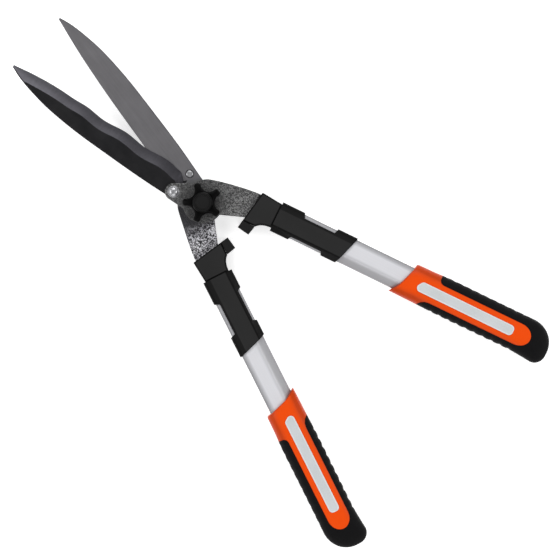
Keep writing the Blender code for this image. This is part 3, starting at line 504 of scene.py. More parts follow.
class Graph:
    """Short calls for building the nodes of a material or a world."""

    def __init__(self, owner, coordinates="Object"):
        owner.use_nodes = True
        self.owner = owner
        self.tree = owner.node_tree
        self.shader = self.tree.nodes.get("Principled BSDF")
        self.coords = self.new("TexCoord").outputs[coordinates]

    def new(self, kind, inputs=(), **settings):
        """A node with its settings, and a value or a link for each input that is given."""
        made = self.tree.nodes.new("ShaderNode" + kind)
        for key, value in settings.items():
            setattr(made, key, value)
        for key, value in dict(inputs).items():
            self.feed(made.inputs[key], value)
        return made

    def feed(self, socket, value):
        if isinstance(value, bpy.types.NodeSocket):
            self.tree.links.new(value, socket)
        elif socket.type == "RGBA":
            socket.default_value = (*value, 1.0)
        else:
            socket.default_value = value

    def noise(self, scale, detail=3.0, roughness=0.5, stretch=(1, 1, 1), distortion=0.0):
        place = self.new("Mapping", {"Vector": self.coords, "Scale": stretch}).outputs["Vector"]
        inputs = {"Vector": place, "Scale": scale, "Detail": detail}
        inputs.update({"Roughness": roughness, "Distortion": distortion})
        return self.new("TexNoise", inputs).outputs["Fac"]

    def cells(self, scale, smoothness):
        """Distance from the middle of each of a crowd of soft-edged cells."""
        inputs = {"Vector": self.coords, "Scale": scale, "Smoothness": smoothness}
        return self.new("TexVoronoi", inputs, feature="SMOOTH_F1").outputs["Distance"]

    def map(self, value, low, high, to_low, to_high, kind="LINEAR"):
        inputs = {"Value": value, "From Min": low, "From Max": high, "To Min": to_low, "To Max": to_high}
        return self.new("MapRange", inputs, interpolation_type=kind).outputs["Result"]

    def math(self, operation, a, b=0.0):
        return self.new("Math", {0: a, 1: b}, operation=operation).outputs[0]

    def colours(self, value, *stops):
        """A colour ramp with stops of (place, colour)."""
        made = self.new("ValToRGB", {"Fac": value})
        elements = made.color_ramp.elements
        while len(elements) < len(stops):
            elements.new(0.5)
        for element, (place, colour) in zip(elements, stops):
            element.position = place
            element.color = (*colour, 1.0)
        return made.outputs["Color"]

    def mix(self, amount, a, b, blend="MIX"):
        inputs = {"Factor": amount, "A": a, "B": b}
        return self.new("Mix", inputs, data_type="RGBA", blend_type=blend).outputs["Result"]

    def facing(self, low, high):
        """1 on faces square to the piece's own Z axis, falling to 0 on the faces round its sides."""
        normal = self.new("TexCoord").outputs["Normal"]
        upright = self.new("SeparateXYZ", {"Vector": normal}).outputs["Z"]
        return self.map(self.math("ABSOLUTE", upright), low, high, 0.0, 1.0)

    def axis(self, name):
        return self.new("SeparateXYZ", {"Vector": self.coords}).outputs[name]

    def from_origin(self):
        """Distance from the object's origin, which is the pivot for a piece in a handle's frame."""
        return self.new("VectorMath", {0: self.coords}, operation="LENGTH").outputs["Value"]

    def bump(self, height, distance, strength):
        inputs = {"Height": height, "Distance": distance, "Strength": strength}
        return self.new("Bump", inputs).outputs["Normal"]

    def edges(self, radius):
        """1 along the edges of a piece, 0 on its flat ground."""
        rounded = self.new("Bevel", {"Radius": radius}, samples=4).outputs["Normal"]
        true = self.new("NewGeometry").outputs["Normal"]
        along = self.new("VectorMath", {0: rounded, 1: true}, operation="DOT_PRODUCT")
        return self.map(along.outputs["Value"], 1.0, 0.88, 0.0, 1.0)

    def finish(self, colour, roughness, metallic=0.0, normal=None, **fixed):
        inputs = {"Base Color": colour, "Roughness": roughness, "Metallic": metallic}
        if normal is not None:
            inputs["Normal"] = normal
        for key, value in fixed.items():
            inputs[key.replace("_", " ")] = value
        for key, value in inputs.items():
            self.feed(self.shader.inputs[key], value)
        return self.owner


def material_graph(name):
    return Graph(bpy.data.materials.new(name))


def shade_of(colour, factor):
    return tuple(min(channel * factor, 1.0) for channel in colour)


def grey(level, blue=1.0):
    return (level, level, level * blue)


# ---- materials


def hammer_paint(name, dark, light, contrast, painted_pivot_shade):
    """Hammered enamel: a maze of bright ridges over dark dimples.

    It is darker by painted shade on the faces turned off the flat and towards the pivot, and by a
    painted shadow round the knob.
    """
    g = material_graph(name)
    maze = g.noise(760, detail=0.6, roughness=0.4, distortion=0.9)
    ridges = g.map(maze, 0.5 - contrast, 0.5 + contrast, 0.0, 1.0)
    fine = g.noise(2000, detail=2.0, roughness=0.6)
    patches = g.noise(60, detail=2.0)
    tone = g.math("MULTIPLY", ridges, g.map(patches, 0.3, 0.7, 0.7, 1.05))
    tone = g.math("ADD", tone, g.map(fine, 0.35, 0.65, -0.06, 0.1))
    # Painted shade: darker towards the pivot.
    tone = g.math("MULTIPLY", tone, g.map(g.axis("X"), 12 * MM, 34 * MM, painted_pivot_shade, 1.0))
    # Painted shadow of the knob: darker close round the pivot, under the knob's lobes.
    tone = g.math("MULTIPLY", tone, g.map(g.from_origin(), 18 * MM, 27 * MM, 0.66, 1.0))
    # Painted shade: darker on the faces turned off the flat.
    tone = g.math("MULTIPLY", tone, g.map(g.facing(0.8, 0.99), 0.0, 1.0, 0.25, 1.0))
    stops = ((0.0, dark), (0.35, shade_of(dark, 1.8)), (0.8, light), (1.0, shade_of(light, 1.2)))
    colour = g.colours(tone, *stops)
    rough = g.map(fine, 0.3, 0.7, 0.26, 0.44)
    normal = g.bump(ridges, 0.22 * MM, 0.7)
    return g.finish(colour, rough, 0.5, normal, Coat_Weight=0.2, Coat_Roughness=0.15)


def ground_steel(name, tone, along="X", rough=0.38, grain=0.35, drift=()):
    """Steel ground in one direction, with fine streaks and faint clouding.

    Drift holds (distance along X, factor) pairs: how the tone changes along the blade.
    """
    g = material_graph(name)
    stretch = (0.03, 1, 1) if along == "X" else (1, 0.03, 1)
    streaks = g.noise(2600, detail=4.0, roughness=0.6, stretch=stretch)
    wide = g.noise(420, detail=2.0, stretch=stretch)
    cloud = g.noise(45, detail=3.0)
    spread = g.math("ADD", g.math("MULTIPLY", streaks, 0.5), g.math("MULTIPLY", wide, 0.5))
    value = g.math("ADD", g.map(spread, 0.3, 0.7, 0.0, grain), g.map(cloud, 0.3, 0.7, 0.0, 0.25))
    colour = g.colours(value, (0.0, shade_of(tone, 0.86)), (0.6, shade_of(tone, 1.12)))
    if drift:
        start, end = drift[0][0], drift[-1][0]
        stops = [((x - start) / (end - start), grey(factor)) for x, factor in drift]
        drifted = g.colours(g.map(g.axis("X"), start, end, 0.0, 1.0), *stops)
        colour = g.mix(1.0, colour, drifted, "MULTIPLY")
    roughness = g.map(streaks, 0.3, 0.7, rough - 0.06, rough + 0.08)
    return g.finish(colour, roughness, 0.85, g.bump(streaks, 0.02 * MM, 0.5))


def black_coating(name):
    """Baked black coating on a blade, slightly uneven, with wear in the high spots."""
    g = material_graph(name)
    fine = g.noise(1800)
    cloud = g.noise(70, detail=4.0, roughness=0.6)
    scuff = g.noise(900, detail=2.0, stretch=(0.06, 1, 1))
    tone = g.math("ADD", g.map(cloud, 0.35, 0.7, 0.0, 0.55), g.map(scuff, 0.6, 0.8, 0.0, 0.35))
    stops = ((0.0, (0.004, 0.004, 0.005)), (0.6, (0.008, 0.0075, 0.009)), (1.0, (0.02, 0.02, 0.022)))
    rough = g.map(cloud, 0.3, 0.7, 0.36, 0.5)
    normal = g.bump(fine, 0.03 * MM, 0.6)
    return g.finish(g.colours(tone, *stops), rough, 0.1, normal, Specular_IOR_Level=0.3)


def zinc(name):
    """Bright zinc plate, clouded and lightly scuffed."""
    g = material_graph(name)
    cloud = g.noise(320, detail=4.0, roughness=0.6)
    scuff = g.noise(2400, detail=2.0)
    colour = g.colours(cloud, (0.3, (0.34, 0.34, 0.355)), (0.7, (0.54, 0.54, 0.555)))
    return g.finish(colour, g.map(cloud, 0.3, 0.7, 0.25, 0.4), 0.9, g.bump(scuff, 0.03 * MM, 0.5))


def moulded(name, colour, rough=0.5, spark=0.05 * MM, vary=0.12, specular=0.5, wear=0.0, sides=None):
    """Moulded plastic with a spark-eroded grain, slight flow marks and edges polished by handling.

    Spark is the grain's depth, and sides is painted shade that darkens the faces turned off the flat, as
    for the black plastic.
    """
    g = material_graph(name)
    grain = g.noise(2400, detail=2.0, roughness=0.7)
    flow = g.noise(34, stretch=(0.5, 1, 1))
    value = g.math("ADD", g.map(flow, 0.3, 0.7, 0.0, 0.6), g.map(grain, 0.3, 0.7, 0.0, 0.4))
    tone = g.colours(value, (0.0, shade_of(colour, 1 - vary)), (1.0, shade_of(colour, 1 + vary)))
    polish = g.edges(0.5 * MM)
    worn = tuple(channel * 1.1 + wear for channel in colour)
    tone = g.mix(g.math("MULTIPLY", polish, 0.3), tone, worn)
    # Painted shade: darker on the faces turned off the flat.
    if sides:
        factor, low, high = sides
        shade = g.colours(g.facing(low, high), (0.0, grey(factor)), (1.0, grey(1.0)))
        tone = g.mix(1.0, tone, shade, "MULTIPLY")
    roughness = g.map(grain, 0.25, 0.75, rough - 0.07, rough + 0.07)
    roughness = g.math("SUBTRACT", roughness, g.math("MULTIPLY", polish, 0.1))
    return g.finish(tone, roughness, 0.0, g.bump(grain, spark, 0.7), Specular_IOR_Level=specular)


def soft_rubber(name, colour, specular):
    """Soft moulded rubber: matt, with a pebbled grain."""
    g = material_graph(name)
    pebbles = g.cells(1300, 0.4)
    dust = g.noise(90, detail=5.0, roughness=0.65)
    value = g.math("ADD", g.map(dust, 0.35, 0.75, 0.0, 0.7), g.map(pebbles, 0.2, 0.8, 0.0, 0.3))
    tone = g.colours(value, (0.0, shade_of(colour, 0.75)), (1.0, shade_of(colour, 1.5)))
    rough = g.map(dust, 0.3, 0.7, 0.58, 0.75)
    return g.finish(tone, rough, 0.0, g.bump(pebbles, 0.12 * MM, 0.8), Specular_IOR_Level=specular)


def anodised(name):
    """Extruded aluminium: faint die lines under a satin skin, with painted shade that is lighter along
    the tube's top and darker round its shoulders.
    """
    g = material_graph(name)
    lines = g.noise(1500, roughness=0.6, stretch=(0.004, 1, 1))
    satin = g.noise(2200, detail=2.0, stretch=(0.15, 1, 1))
    cloud = g.noise(24, detail=2.0, stretch=(0.3, 1, 1))
    value = g.math("ADD", g.map(lines, 0.3, 0.7, 0.0, 0.6), g.map(cloud, 0.3, 0.7, 0.0, 0.4))
    skin = g.colours(value, (0.0, (0.91, 0.91, 0.94)), (1.0, grey(1.0)))
    low, high = TUBE_PAINTED_SHADE[0][0], TUBE_PAINTED_SHADE[-1][0]
    # Painted shade across the tube: lighter along its top, darker round its shoulders.
    across = g.map(g.axis("Y"), low * MM, high * MM, 0.0, 1.0)
    stops = [((v - low) / (high - low), grey(tone, 1.03)) for v, tone in TUBE_PAINTED_SHADE]
    colour = g.mix(1.0, g.colours(across, *stops), skin, "MULTIPLY")
    rough = g.map(satin, 0.3, 0.7, 0.38, 0.5)
    return g.finish(colour, rough, 0.45, g.bump(lines, 0.02 * MM, 0.5))


def silver_inlay(name):
    """Silver-grey plastic with a fine pearl."""
    g = material_graph(name)
    pearl = g.noise(1400, roughness=0.7)
    cloud = g.noise(50, detail=2.0)
    value = g.math("ADD", g.map(pearl, 0.35, 0.65, 0.0, 0.5), g.map(cloud, 0.3, 0.7, 0.0, 0.5))
    colour = g.colours(value, (0.0, (0.57, 0.60, 0.615)), (1.0, (0.68, 0.705, 0.72)))
    return g.finish(colour, g.map(pearl, 0.3, 0.7, 0.3, 0.42), 0.2, g.bump(pearl, 0.02 * MM, 0.5))


HAMMER_FRONT = hammer_paint("hammer_paint_front", grey(0.04), grey(0.208), 0.10, 0.78)
HAMMER_REAR = hammer_paint("hammer_paint_rear", (0.031, 0.030, 0.034), (0.82, 0.81, 0.86), 0.065, 0.36)
BLADE_FACE = ground_steel("blade_inner_face", (0.20, 0.195, 0.205), rough=0.42)
BLADE_BEVEL = ground_steel("blade_bevel", (0.072, 0.070, 0.080), "Y", 0.36, 0.5, BEVEL_DRIFT)
BLADE_SHOULDER = ground_steel("blade_shoulder", (0.17, 0.17, 0.175), "Y", 0.4)
BLADE_BLACK = black_coating("blade_coating")
ZINC = zinc("zinc_plate")
BLACK = moulded("black_plastic", grey(0.0225), specular=0.055, wear=0.004, sides=SIDE_SHADE_BLACK)
# Painted shade: the knob's lobes take a darker copy of the hub's black plastic.
KNOB_SHADED_BLACK = moulded("knob_plastic_shaded", grey(0.0012), 0.42, specular=0.05, wear=0.0015)
KNOB_CAP = moulded("knob_cap_plastic", grey(0.0125), 0.42, specular=0.08, sides=SIDE_SHADE_CAP)
RUBBER = soft_rubber("pad_rubber", grey(0.005), 0.2)
GRIP_RUBBER = soft_rubber("grip_rubber", (0.0035, 0.0033, 0.0037), 0.09)
ALUMINIUM = anodised("anodised_aluminium")
ORANGE = moulded("orange_plastic", (0.80, 0.067, 0.0), 0.38, 0.03 * MM, 0.06, 0.15, sides=SIDE_SHADE_ORANGE)
INLAY = silver_inlay("silver_inlay")
INLAY_RIM = moulded("inlay_rim", (0.68, 0.70, 0.71), 0.3, 0.01 * MM, 0.03, 0.3)


# ---- blades


def blade_back(p):
    keys = in_metres(BACK_LINE)
    if p < keys[0][0]:
        return -sqrt(max(BLADE_TAIL_RADIUS**2 - p * p, 0.0))
    return -smooth_value(keys, p)


def blade_edge(p, half):
    if p < 0:
        return sqrt(max(BLADE_TAIL_RADIUS**2 - p * p, 0.0))
    if p < SHOULDER_P:
        return BLADE_TAIL_RADIUS + (SHOULDER_Q - BLADE_TAIL_RADIUS) * p / SHOULDER_P
    if p < HEEL_P:
        return SHOULDER_Q + (HEEL_Q - SHOULDER_Q) * (p - SHOULDER_P) / (HEEL_P - SHOULDER_P)
    rise_start, rise_end, fall_start, fall_end = WAVE_FADE
    fade = ramp(p, rise_start, rise_end) - ramp(p, fall_start, fall_end)
    wave = WAVE_HEIGHT[half] * fade * cos(2 * pi * (p - WAVE_CREST) / WAVE_PITCH)
    return smooth_value(in_metres(EDGE_LINE[half]), p) + wave


def blade_stations():
    """Where the blade's sections stand, closer together where its outline turns."""
    tail = [-BLADE_TAIL_RADIUS * cos(radians(a)) for a in range(6, 91, 7)]
    neck = spaced(3 * MM, SHOULDER_P, 6) + spaced(20 * MM, HEEL_P, 4)
    heel = spaced(29 * MM, 40 * MM, 14)
    main = spaced(42 * MM, BLADE_TIP_P, 96)
    tip = [BLADE_TIP_P + (BLADE_LENGTH - BLADE_TIP_P) * sin(a) for a in quarter_turn(24)[1:]]
    return tail + neck + heel + main + tip


def blade_rounding(p, half):
    return min(BLADE_EDGE_ROUND, 0.12 * (blade_edge(p, half) - blade_back(p)))


def bevel_width(p, half):
    """The ground bevel keeps its width until the blade narrows to it near the tip."""
    return min(BEVEL_WIDTH, blade_edge(p, half) - blade_back(p) - 2 * blade_rounding(p, half))


def blade_section(p, half):
    """Corners of the blade at p: along the inner face, up the edge and bevel, across, down the back."""
    back, edge = blade_back(p), blade_edge(p, half)
    low, top = BLADE_W, BLADE_TOP_W
    bevelled = ramp(p, HEEL_P, HEEL_P + 8 * MM)
    edge_top = top + (low + EDGE_THICKNESS - top) * bevelled
    r = blade_rounding(p, half)
    width = bevel_width(p, half)
    bevel_top = edge_top + (top - edge_top) * width / BEVEL_WIDTH
    points = [(back + r, low), (edge - 0.2 * r, low)]
    points += [(edge, low + 0.15 * MM), (edge, edge_top - 0.1 * MM)]
    for column in range(BEVEL_COLUMNS + 1):
        share = column / BEVEL_COLUMNS
        hollow = BEVEL_HOLLOW * bevelled * sin(pi * share) * width / BEVEL_WIDTH
        points.append((edge - width * share, edge_top + (bevel_top - edge_top) * share - hollow))
    for column in range(1, FACE_COLUMNS + 1):
        share = column / FACE_COLUMNS
        points.append((edge - width + (back + r - edge + width) * share, bevel_top))
    points += [(back + 0.3 * r, bevel_top - 0.3 * r), (back, bevel_top - r)]
    points += [(back, low + r), (back + 0.3 * r, low + 0.3 * r)]
    return [(p, -q, w) for q, w in points]


def make_blade(half):
    """Inner face satin ground, outer face black with a ground bevel along the cutting edge."""
    mesh = loft([blade_section(p, half) for p in blade_stations()])
    mesh = drill(mesh, PIVOT_HOLE_RADIUS)
    turn = Matrix.Rotation(pi + BLADE_ANGLE[half], 4, "Z")
    to_blade = turn.inverted() @ Matrix.Rotation(HANDLE_ANGLE, 4, "Z")
    rivet_at = to_blade @ Vector((*RIVET[half], 0))
    radius = RIVET_RADIUS + GAP
    sink = [(0, BLADE_W - MM), (radius + 1.4 * MM, BLADE_W - MM), (radius, BLADE_W + 0.4 * MM)]
    hole = lathe(sink + [(radius, HOLE_REACH), (0, HOLE_REACH)], 48, rivet_at)
    mesh = tidy_up(cut(mesh, hole))
    for polygon in mesh.polygons:
        p, q = polygon.center.x, -polygon.center.y
        in_bevel = q > blade_edge(p, half) - bevel_width(p, half)
        if polygon.normal.z < -0.97:
            polygon.material_index = 0
        elif p > HEEL_P and in_bevel:
            polygon.material_index = 1
        elif 0 < p < HEEL_P - 2 * MM and in_bevel:
            polygon.material_index = 3
        else:
            polygon.material_index = 2
    materials = [BLADE_FACE, BLADE_BEVEL, BLADE_BLACK, BLADE_SHOULDER]
    slot = "blade_black" if half == "front" else "blade_grey"
    piece(f"{half}_blade", mesh, HALF_PLACE[half] @ turn, f"{half}_half", materials, slot, sharp=7)


# ---- arms and rivets


def arm_outline(half):
    inner, outer = TUBE_V - TANG_HALF_WIDTH, TUBE_V + TANG_HALF_WIDTH
    toe_radius, toe_angles, boss_radius, boss_angle = ARM_ROUNDS[half]
    tang_start, tang_end = TANG_U
    tang = [(tang_end, inner), (tang_end, outer), (tang_start, outer)]
    keys = in_metres(ARM_OUTER[half])
    outer_side = [(u, smooth_value(keys, u)) for u in spaced(keys[-1][0], keys[0][0], 44)]
    toe = arc(RIVET[half], toe_radius, *toe_angles, 30)
    boss = arc((0, 0), boss_radius, boss_angle, 350, 44)
    return tang + outer_side + toe + boss + [(ARM_SHOULDER_U, ARM_INNER_V), (tang_start, inner)]


def joggled_plate(outline, half_height):
    """A plate cut across at the joggle, and bent from the arm's level before it to MID_Z after it."""
    start, end = JOGGLE
    drop = ARM_TOP_W - ARM_THICKNESS / 2
    work = bmesh.new()
    work.from_mesh(plate(outline, -half_height, half_height))
    for u in spaced(start, end, 9):
        geometry = work.verts[:] + work.edges[:] + work.faces[:]
        bmesh.ops.bisect_plane(work, geom=geometry, plane_co=(u, 0, 0), plane_no=(1, 0, 0))
    for vertex in work.verts:
        vertex.co.z += drop * (1 - ramp(vertex.co.x, start, end))
    return bmesh_to_mesh(work)


def make_arm(half):
    mesh = drill(joggled_plate(arm_outline(half), ARM_THICKNESS / 2), PIVOT_HOLE_RADIUS)
    mesh = drill(mesh, RIVET_RADIUS + GAP, RIVET[half])
    material = HAMMER_FRONT if half == "front" else HAMMER_REAR
    handle_piece(half, f"{half}_arm", mesh, [material], "hammer_paint", bevel=ARM_EDGES)


def make_rivet(half):
    """Domed over the arm with a pressed ring round it, and peened flush with the blade's inner face."""
    foot, seat = BLADE_W + 0.05 * MM, ARM_TOP_W + 0.05 * MM
    rise, radius = RIVET_HEAD_HEIGHT + GAP - 0.65 * MM, RIVET_DOME_RADIUS
    dome = [(radius * sin(a), seat + 0.6 * MM + rise * cos(a)) for a in quarter_turn(12)]
    ring = [(RIVET_HEAD_RADIUS + step, seat + height) for step, height in in_metres(RIVET_RING)]
    shank = [(RIVET_RADIUS, seat), (RIVET_RADIUS, foot + 0.6 * MM)]
    shank.append((RIVET_RADIUS - 0.25 * MM, foot + 0.35 * MM))
    peened = ((2.6, 0.08), (1.9, 0.0), (0.9, 0.1), (0.0, 0.2))
    end = [(radius, foot + height) for radius, height in in_metres(peened)]
    mesh = lathe(dome + ring + shank + end, 56, RIVET[half])
    handle_piece(half, f"{half}_rivet", mesh, [ZINC], "zinc", sharp=40)


# ---- handle joint


def make_head(half):
    """A block round the arm's end, with a pocket for it that is a little larger than the arm."""
    notch = arc(NOTCH_CENTRE, NOTCH_RADII[0], 157, 90, 21, NOTCH_RADII[1])
    outline = in_metres([*HEAD_START, *notch, *HEAD_END])
    pocket = joggled_plate(in_metres(POCKET_OUTLINE), ARM_THICKNESS / 2 + POCKET_ROOM)
    mesh = cut(rounded_plate(outline, HEAD_HALF_HEIGHT, HEAD_EDGE_RADIUS), pocket)
    handle_piece(half, f"{SIDE[half]}_buffer_head", mesh, [BLACK], "black_plastic", sharp=28)


def make_pad(half):
    mesh = rounded_plate(in_metres(PAD_OUTLINE), HEAD_HALF_HEIGHT, PAD_EDGE_RADIUS)
    handle_piece(half, f"{SIDE[half]}_buffer_pad", mesh, [RUBBER], "black_rubber", sharp=28)


def slanted(ends, v, curve):
    """How far along an end that slants from its inner to its outer u lies at v."""
    inner_u, outer_u = ends
    half_width, power = curve
    share = (v - TUBE_V) / (2 * half_width) + 0.5
    return inner_u + (outer_u - inner_u) * min(max(share, 0.0), 1.0) ** power


def make_sleeve(half):
    """A thin shell over head and tube, with a slanted end and a window on each side."""
    outer, inner = wrapped(both_faces(SLEEVE_CIRCLES)), wrapped(both_faces(TUBE_CIRCLES), GAP)
    mesh = pipe(outer, inner, SLEEVE_START_U, SLEEVE_END_U[1])
    for vertex in mesh.vertices:
        if vertex.co.x > SLEEVE_END_U[1] - 0.01 * MM:
            vertex.co.x = slanted(SLEEVE_END_U, vertex.co.y, SLEEVE_END_CURVE)
    for window in (OUTER_WINDOW, INNER_WINDOW):
        mesh = cut(mesh, plate(in_metres(window), -WINDOW_REACH, WINDOW_REACH))
    mesh = tidy_up(mesh, 0.3)
    handle_piece(half, f"{SIDE[half]}_sleeve", mesh, [BLACK], "black_plastic", bevel=SLEEVE_EDGES)


def make_tube(half):
    outer, inner = wrapped(both_faces(TUBE_CIRCLES)), wrapped(both_faces(TUBE_CIRCLES), -TUBE_WALL)
    mesh = pipe(outer, inner, TUBE_START_U, TUBE_END_U)
    handle_piece(half, f"{SIDE[half]}_tube", mesh, [ALUMINIUM], "aluminium", sharp=25)


def make_screw(half, label):
    """A pan-head screw with a cross recess, driven in from the back."""
    u, seat = SCREW_U[label], -HEAD_HALF_HEIGHT - GAP
    head_low, rim = seat - SCREW_HEAD_HEIGHT, seat - 0.5 * MM
    crown = [
        (SCREW_HEAD_RADIUS * sin(a), rim - (SCREW_HEAD_HEIGHT - 0.5 * MM) * cos(a) ** 0.7)
        for a in quarter_turn(8)[::-1]
    ]
    tip = [(0, SCREW_TIP_W), (SCREW_RADIUS * 0.5, SCREW_TIP_W), (SCREW_RADIUS, SCREW_TIP_W - 2 * MM)]
    profile = tip + [(SCREW_RADIUS, seat), (SCREW_HEAD_RADIUS, seat)] + crown
    mesh = lathe(profile, 40, (u, TUBE_V))
    for length, width in ((RECESS_LENGTH, RECESS_WIDTH), (RECESS_WIDTH, RECESS_LENGTH)):
        low = (u - length / 2, TUBE_V - width / 2, head_low - MM)
        high = (u + length / 2, TUBE_V + width / 2, head_low + RECESS_DEPTH)
        mesh = cut(mesh, box(low, high))
    place = HANDLE_PLACE[half]
    if half == "rear":
        place = place @ Matrix.Translation((0, 2 * TUBE_V, 0)) @ TURN_OVER
    piece(f"{SIDE[half]}_screw_{label}", mesh, place, f"{half}_half", [ZINC], "zinc", sharp=35)


# ---- grips


def grip_side(line, centre, u):
    """The grip's outer or inner side at u: a smooth line that ends in a quarter of an ellipse."""
    centre_u, centre_v = centre
    if u <= centre_u:
        return smooth_value(in_metres(line), u)
    t = (u - centre_u) / (GRIP_BUTT_U - centre_u)
    return centre_v + (line[-1][1] * MM - centre_v) * sqrt(max(1 - t * t, 0.0))


def grip_half_height(u):
    rise = 0.91 + 0.09 * ramp(u, 205 * MM, 236 * MM)
    start = BUTT_OUTER_CENTRE[0]
    t = max(u - start, 0.0) / (GRIP_BUTT_U + 1.5 * MM - start)
    return GRIP_HALF_HEIGHT * rise * sqrt(1 - t * t)


def ridge(u, side_share):
    """How deep the grooves between the finger ridges are at u."""
    start, end = RIDGES
    fade = ramp(u, start, start + 6 * MM) * (1 - ramp(u, end - 6 * MM, end))
    groove = 0.5 - 0.5 * cos(2 * pi * (u - start) / RIDGE_PITCH)
    return RIDGE_DEPTH * fade * groove**2 * side_share


def grip_section(u, depth, ridged=False):
    """A squarish oval across the grip, depth inside its surface, with its ridges on the two sides."""
    low = grip_side(GRIP_INNER, BUTT_INNER_CENTRE, u) + depth
    high = grip_side(GRIP_OUTER, BUTT_OUTER_CENTRE, u) - depth
    centre, half_width, half_height = (low + high) / 2, (high - low) / 2, grip_half_height(u) - depth
    power = 2 / GRIP_SQUARENESS
    section = []
    for index in range(GRIP_POINTS):
        angle = 2 * pi * (index + 0.5) / GRIP_POINTS
        c, s = cos(angle), sin(angle)
        groove = ridge(u, ramp(-c, 0.35, 0.8) + 0.45 * ramp(c, 0.45, 0.8)) if ridged else 0.0
        v = centre + (half_width - groove) * copysign(abs(c) ** power, c)
        w = (half_height - groove) * copysign(abs(s) ** power, s)
        section.append((u, v, w))
    return section


def grip_form(ridged):
    """The grip's whole outer surface, from its slanted, rounded start to the butt."""
    first = grip_section(GRIP_FIRST_U, 0)
    starts = []
    for shift, size in GRIP_START_ROUND:
        starts.append([
            (slanted(GRIP_START_U, v, GRIP_START_CURVE) + shift, TUBE_V + (v - TUBE_V) * size, w * size)
            for _, v, w in first
        ])
    body = spaced(222 * MM, 246 * MM, 9) + spaced(247 * MM, 344 * MM, 122 if ridged else 30)
    butt_run = GRIP_BUTT_U - 0.15 * MM - BUTT_START_U
    butt = [BUTT_START_U + butt_run * sin(a) for a in quarter_turn(26)]
    return loft(starts + [grip_section(u, 0, ridged) for u in body + butt])


def grip_heart(depth):
    """The core's hidden middle, under the soft skin."""
    return loft([grip_section(u * MM, depth) for u in HEART_STATIONS])


def tongue_plate(grow=0.0):
    """Plan of the hard plastic that shows: a collar and a round-ended tongue between the soft sides."""
    radius_u, radius_v = TONGUE_END_RADII
    end = arc(TONGUE_END, radius_u + grow, -90, 90, 30, radius_v + grow)
    inner_side = [(u + grow, v - grow) for u, v in in_metres(TONGUE_INNER)]
    outer_side = [(u + grow, v + grow) for u, v in in_metres(TONGUE_OUTER)]
    return plate(inner_side + end + outer_side, -TONGUE_REACH, TONGUE_REACH)


def make_grip(half):
    """The hard core on the tube and the soft cover round its sides and butt."""
    core = cut(grip_form(False), tongue_plate(), "INTERSECT")
    core = cut(core, grip_heart(GRIP_SKIN), "UNION")
    bore = wrapped(both_faces(TUBE_CIRCLES), GAP)
    core = cut(core, loft([[(u, v, w) for v, w in bore] for u in (200 * MM, TUBE_END_U + GAP)]))
    outline = wrapped(in_metres(INLAY_CIRCLES), INLAY_ROOM)
    for sign in (1, -1):
        middle = sign * (MID_Z - INLAY_DEPTH / 2)
        depth = INLAY_DEPTH / 2 + GAP
        core = cut(core, plate(outline, middle - depth, middle + depth))
    handle_piece(half, f"{SIDE[half]}_grip_core", core, [ORANGE], "orange_plastic", sharp=32)
    cover = cut(grip_form(True), tongue_plate(TONGUE_ROOM))
    cover = cut(cover, grip_heart(GRIP_SKIN - GAP))
    handle_piece(half, f"{SIDE[half]}_grip_cover", cover, [GRIP_RUBBER], "black_rubber", sharp=32)


def make_inlay(half, sign):
    """A silver panel in a raised pale rim, let into the grip's face."""
    label = "top" if (sign > 0) == (half == "front") else "bottom"
    middle = MID_Z - INLAY_DEPTH / 2
    circles = in_metres(INLAY_CIRCLES)
    sections = []
    for step_in, level in INLAY_RINGS:
        w = sign * (middle + level * INLAY_DEPTH / 2)
        sections.append([(u, v, w) for u, v in wrapped(circles, -step_in * MM)])
    mesh = loft(sections)
    for polygon in mesh.polygons:
        corner = mesh.vertices[polygon.vertices[0]].co
        flat_panel = len(polygon.vertices) > 4 and sign * corner.z > middle
        polygon.material_index = 1 if flat_panel else 0
    node = f"{SIDE[half]}_inlay_{label}"
    handle_piece(half, node, mesh, [INLAY_RIM, INLAY], "silver_plastic", sharp=50)


# ---- knob


def star_outline(depth=0.0):
    """Plan of the knob: a circle with a round scoop between each two lobes, and rounded corners."""
    radius, scoop, far = KNOB_RADIUS - depth, KNOB_SCOOP_RADIUS + depth, KNOB_SCOOP_CENTRE
    corner = KNOB_CORNER_RADIUS - depth
    reach = radius - corner
    turn = degrees(acos((far**2 + reach**2 - (scoop + corner) ** 2) / (2 * far * reach)))
    pitch = 360 / KNOB_LOBES
    outline = []
    for lobe in range(KNOB_LOBES):
        axis = KNOB_PHASE - pitch / 2 + lobe * pitch
        scoop_at = polar(far, axis)
        corner_at = [polar(reach, axis + turn), polar(reach, axis + pitch - turn)]
        run = hypot(corner_at[0][0] - scoop_at[0], corner_at[0][1] - scoop_at[1])
        toward = degrees(acos((reach**2 - far**2 - run**2) / (2 * far * run)))
        outline += arc(scoop_at, scoop, axis + 360 - toward, axis + toward, 14)[:-1]
        outline += arc(corner_at[0], corner, axis + toward - 180, axis + turn, 8)[:-1]
        outline += arc((0, 0), radius, axis + turn, axis + pitch - turn, 3)[:-1]
        outline += arc(corner_at[1], corner, axis + pitch - turn, axis + pitch + 180 - toward, 8)[:-1]
    return outline


def star_ring(z, depth, share=0.0):
    """A ring of the knob, drawn in from the star towards its round hub by share."""
    ring = []
    lift = (z - KNOB_LOW) / (KNOB_STAR_TOP - KNOB_LOW)
    for x, y in star_outline(depth):
        radius = hypot(x, y)
        drawn = 1 + share * (KNOB_HUB_RADIUS / radius - 1)
        out = max(radius * drawn - KNOB_HUB_RADIUS, 0.0) / (KNOB_RADIUS - KNOB_HUB_RADIUS)
        ring.append((x * drawn, y * drawn, z - KNOB_CROWN * lift * out**1.5))
    return ring


def round_ring(radius, z):
    """A circle with a point in the same direction as each point of the star."""
    return [(radius * x / hypot(x, y), radius * y / hypot(x, y), z) for x, y in star_outline()]


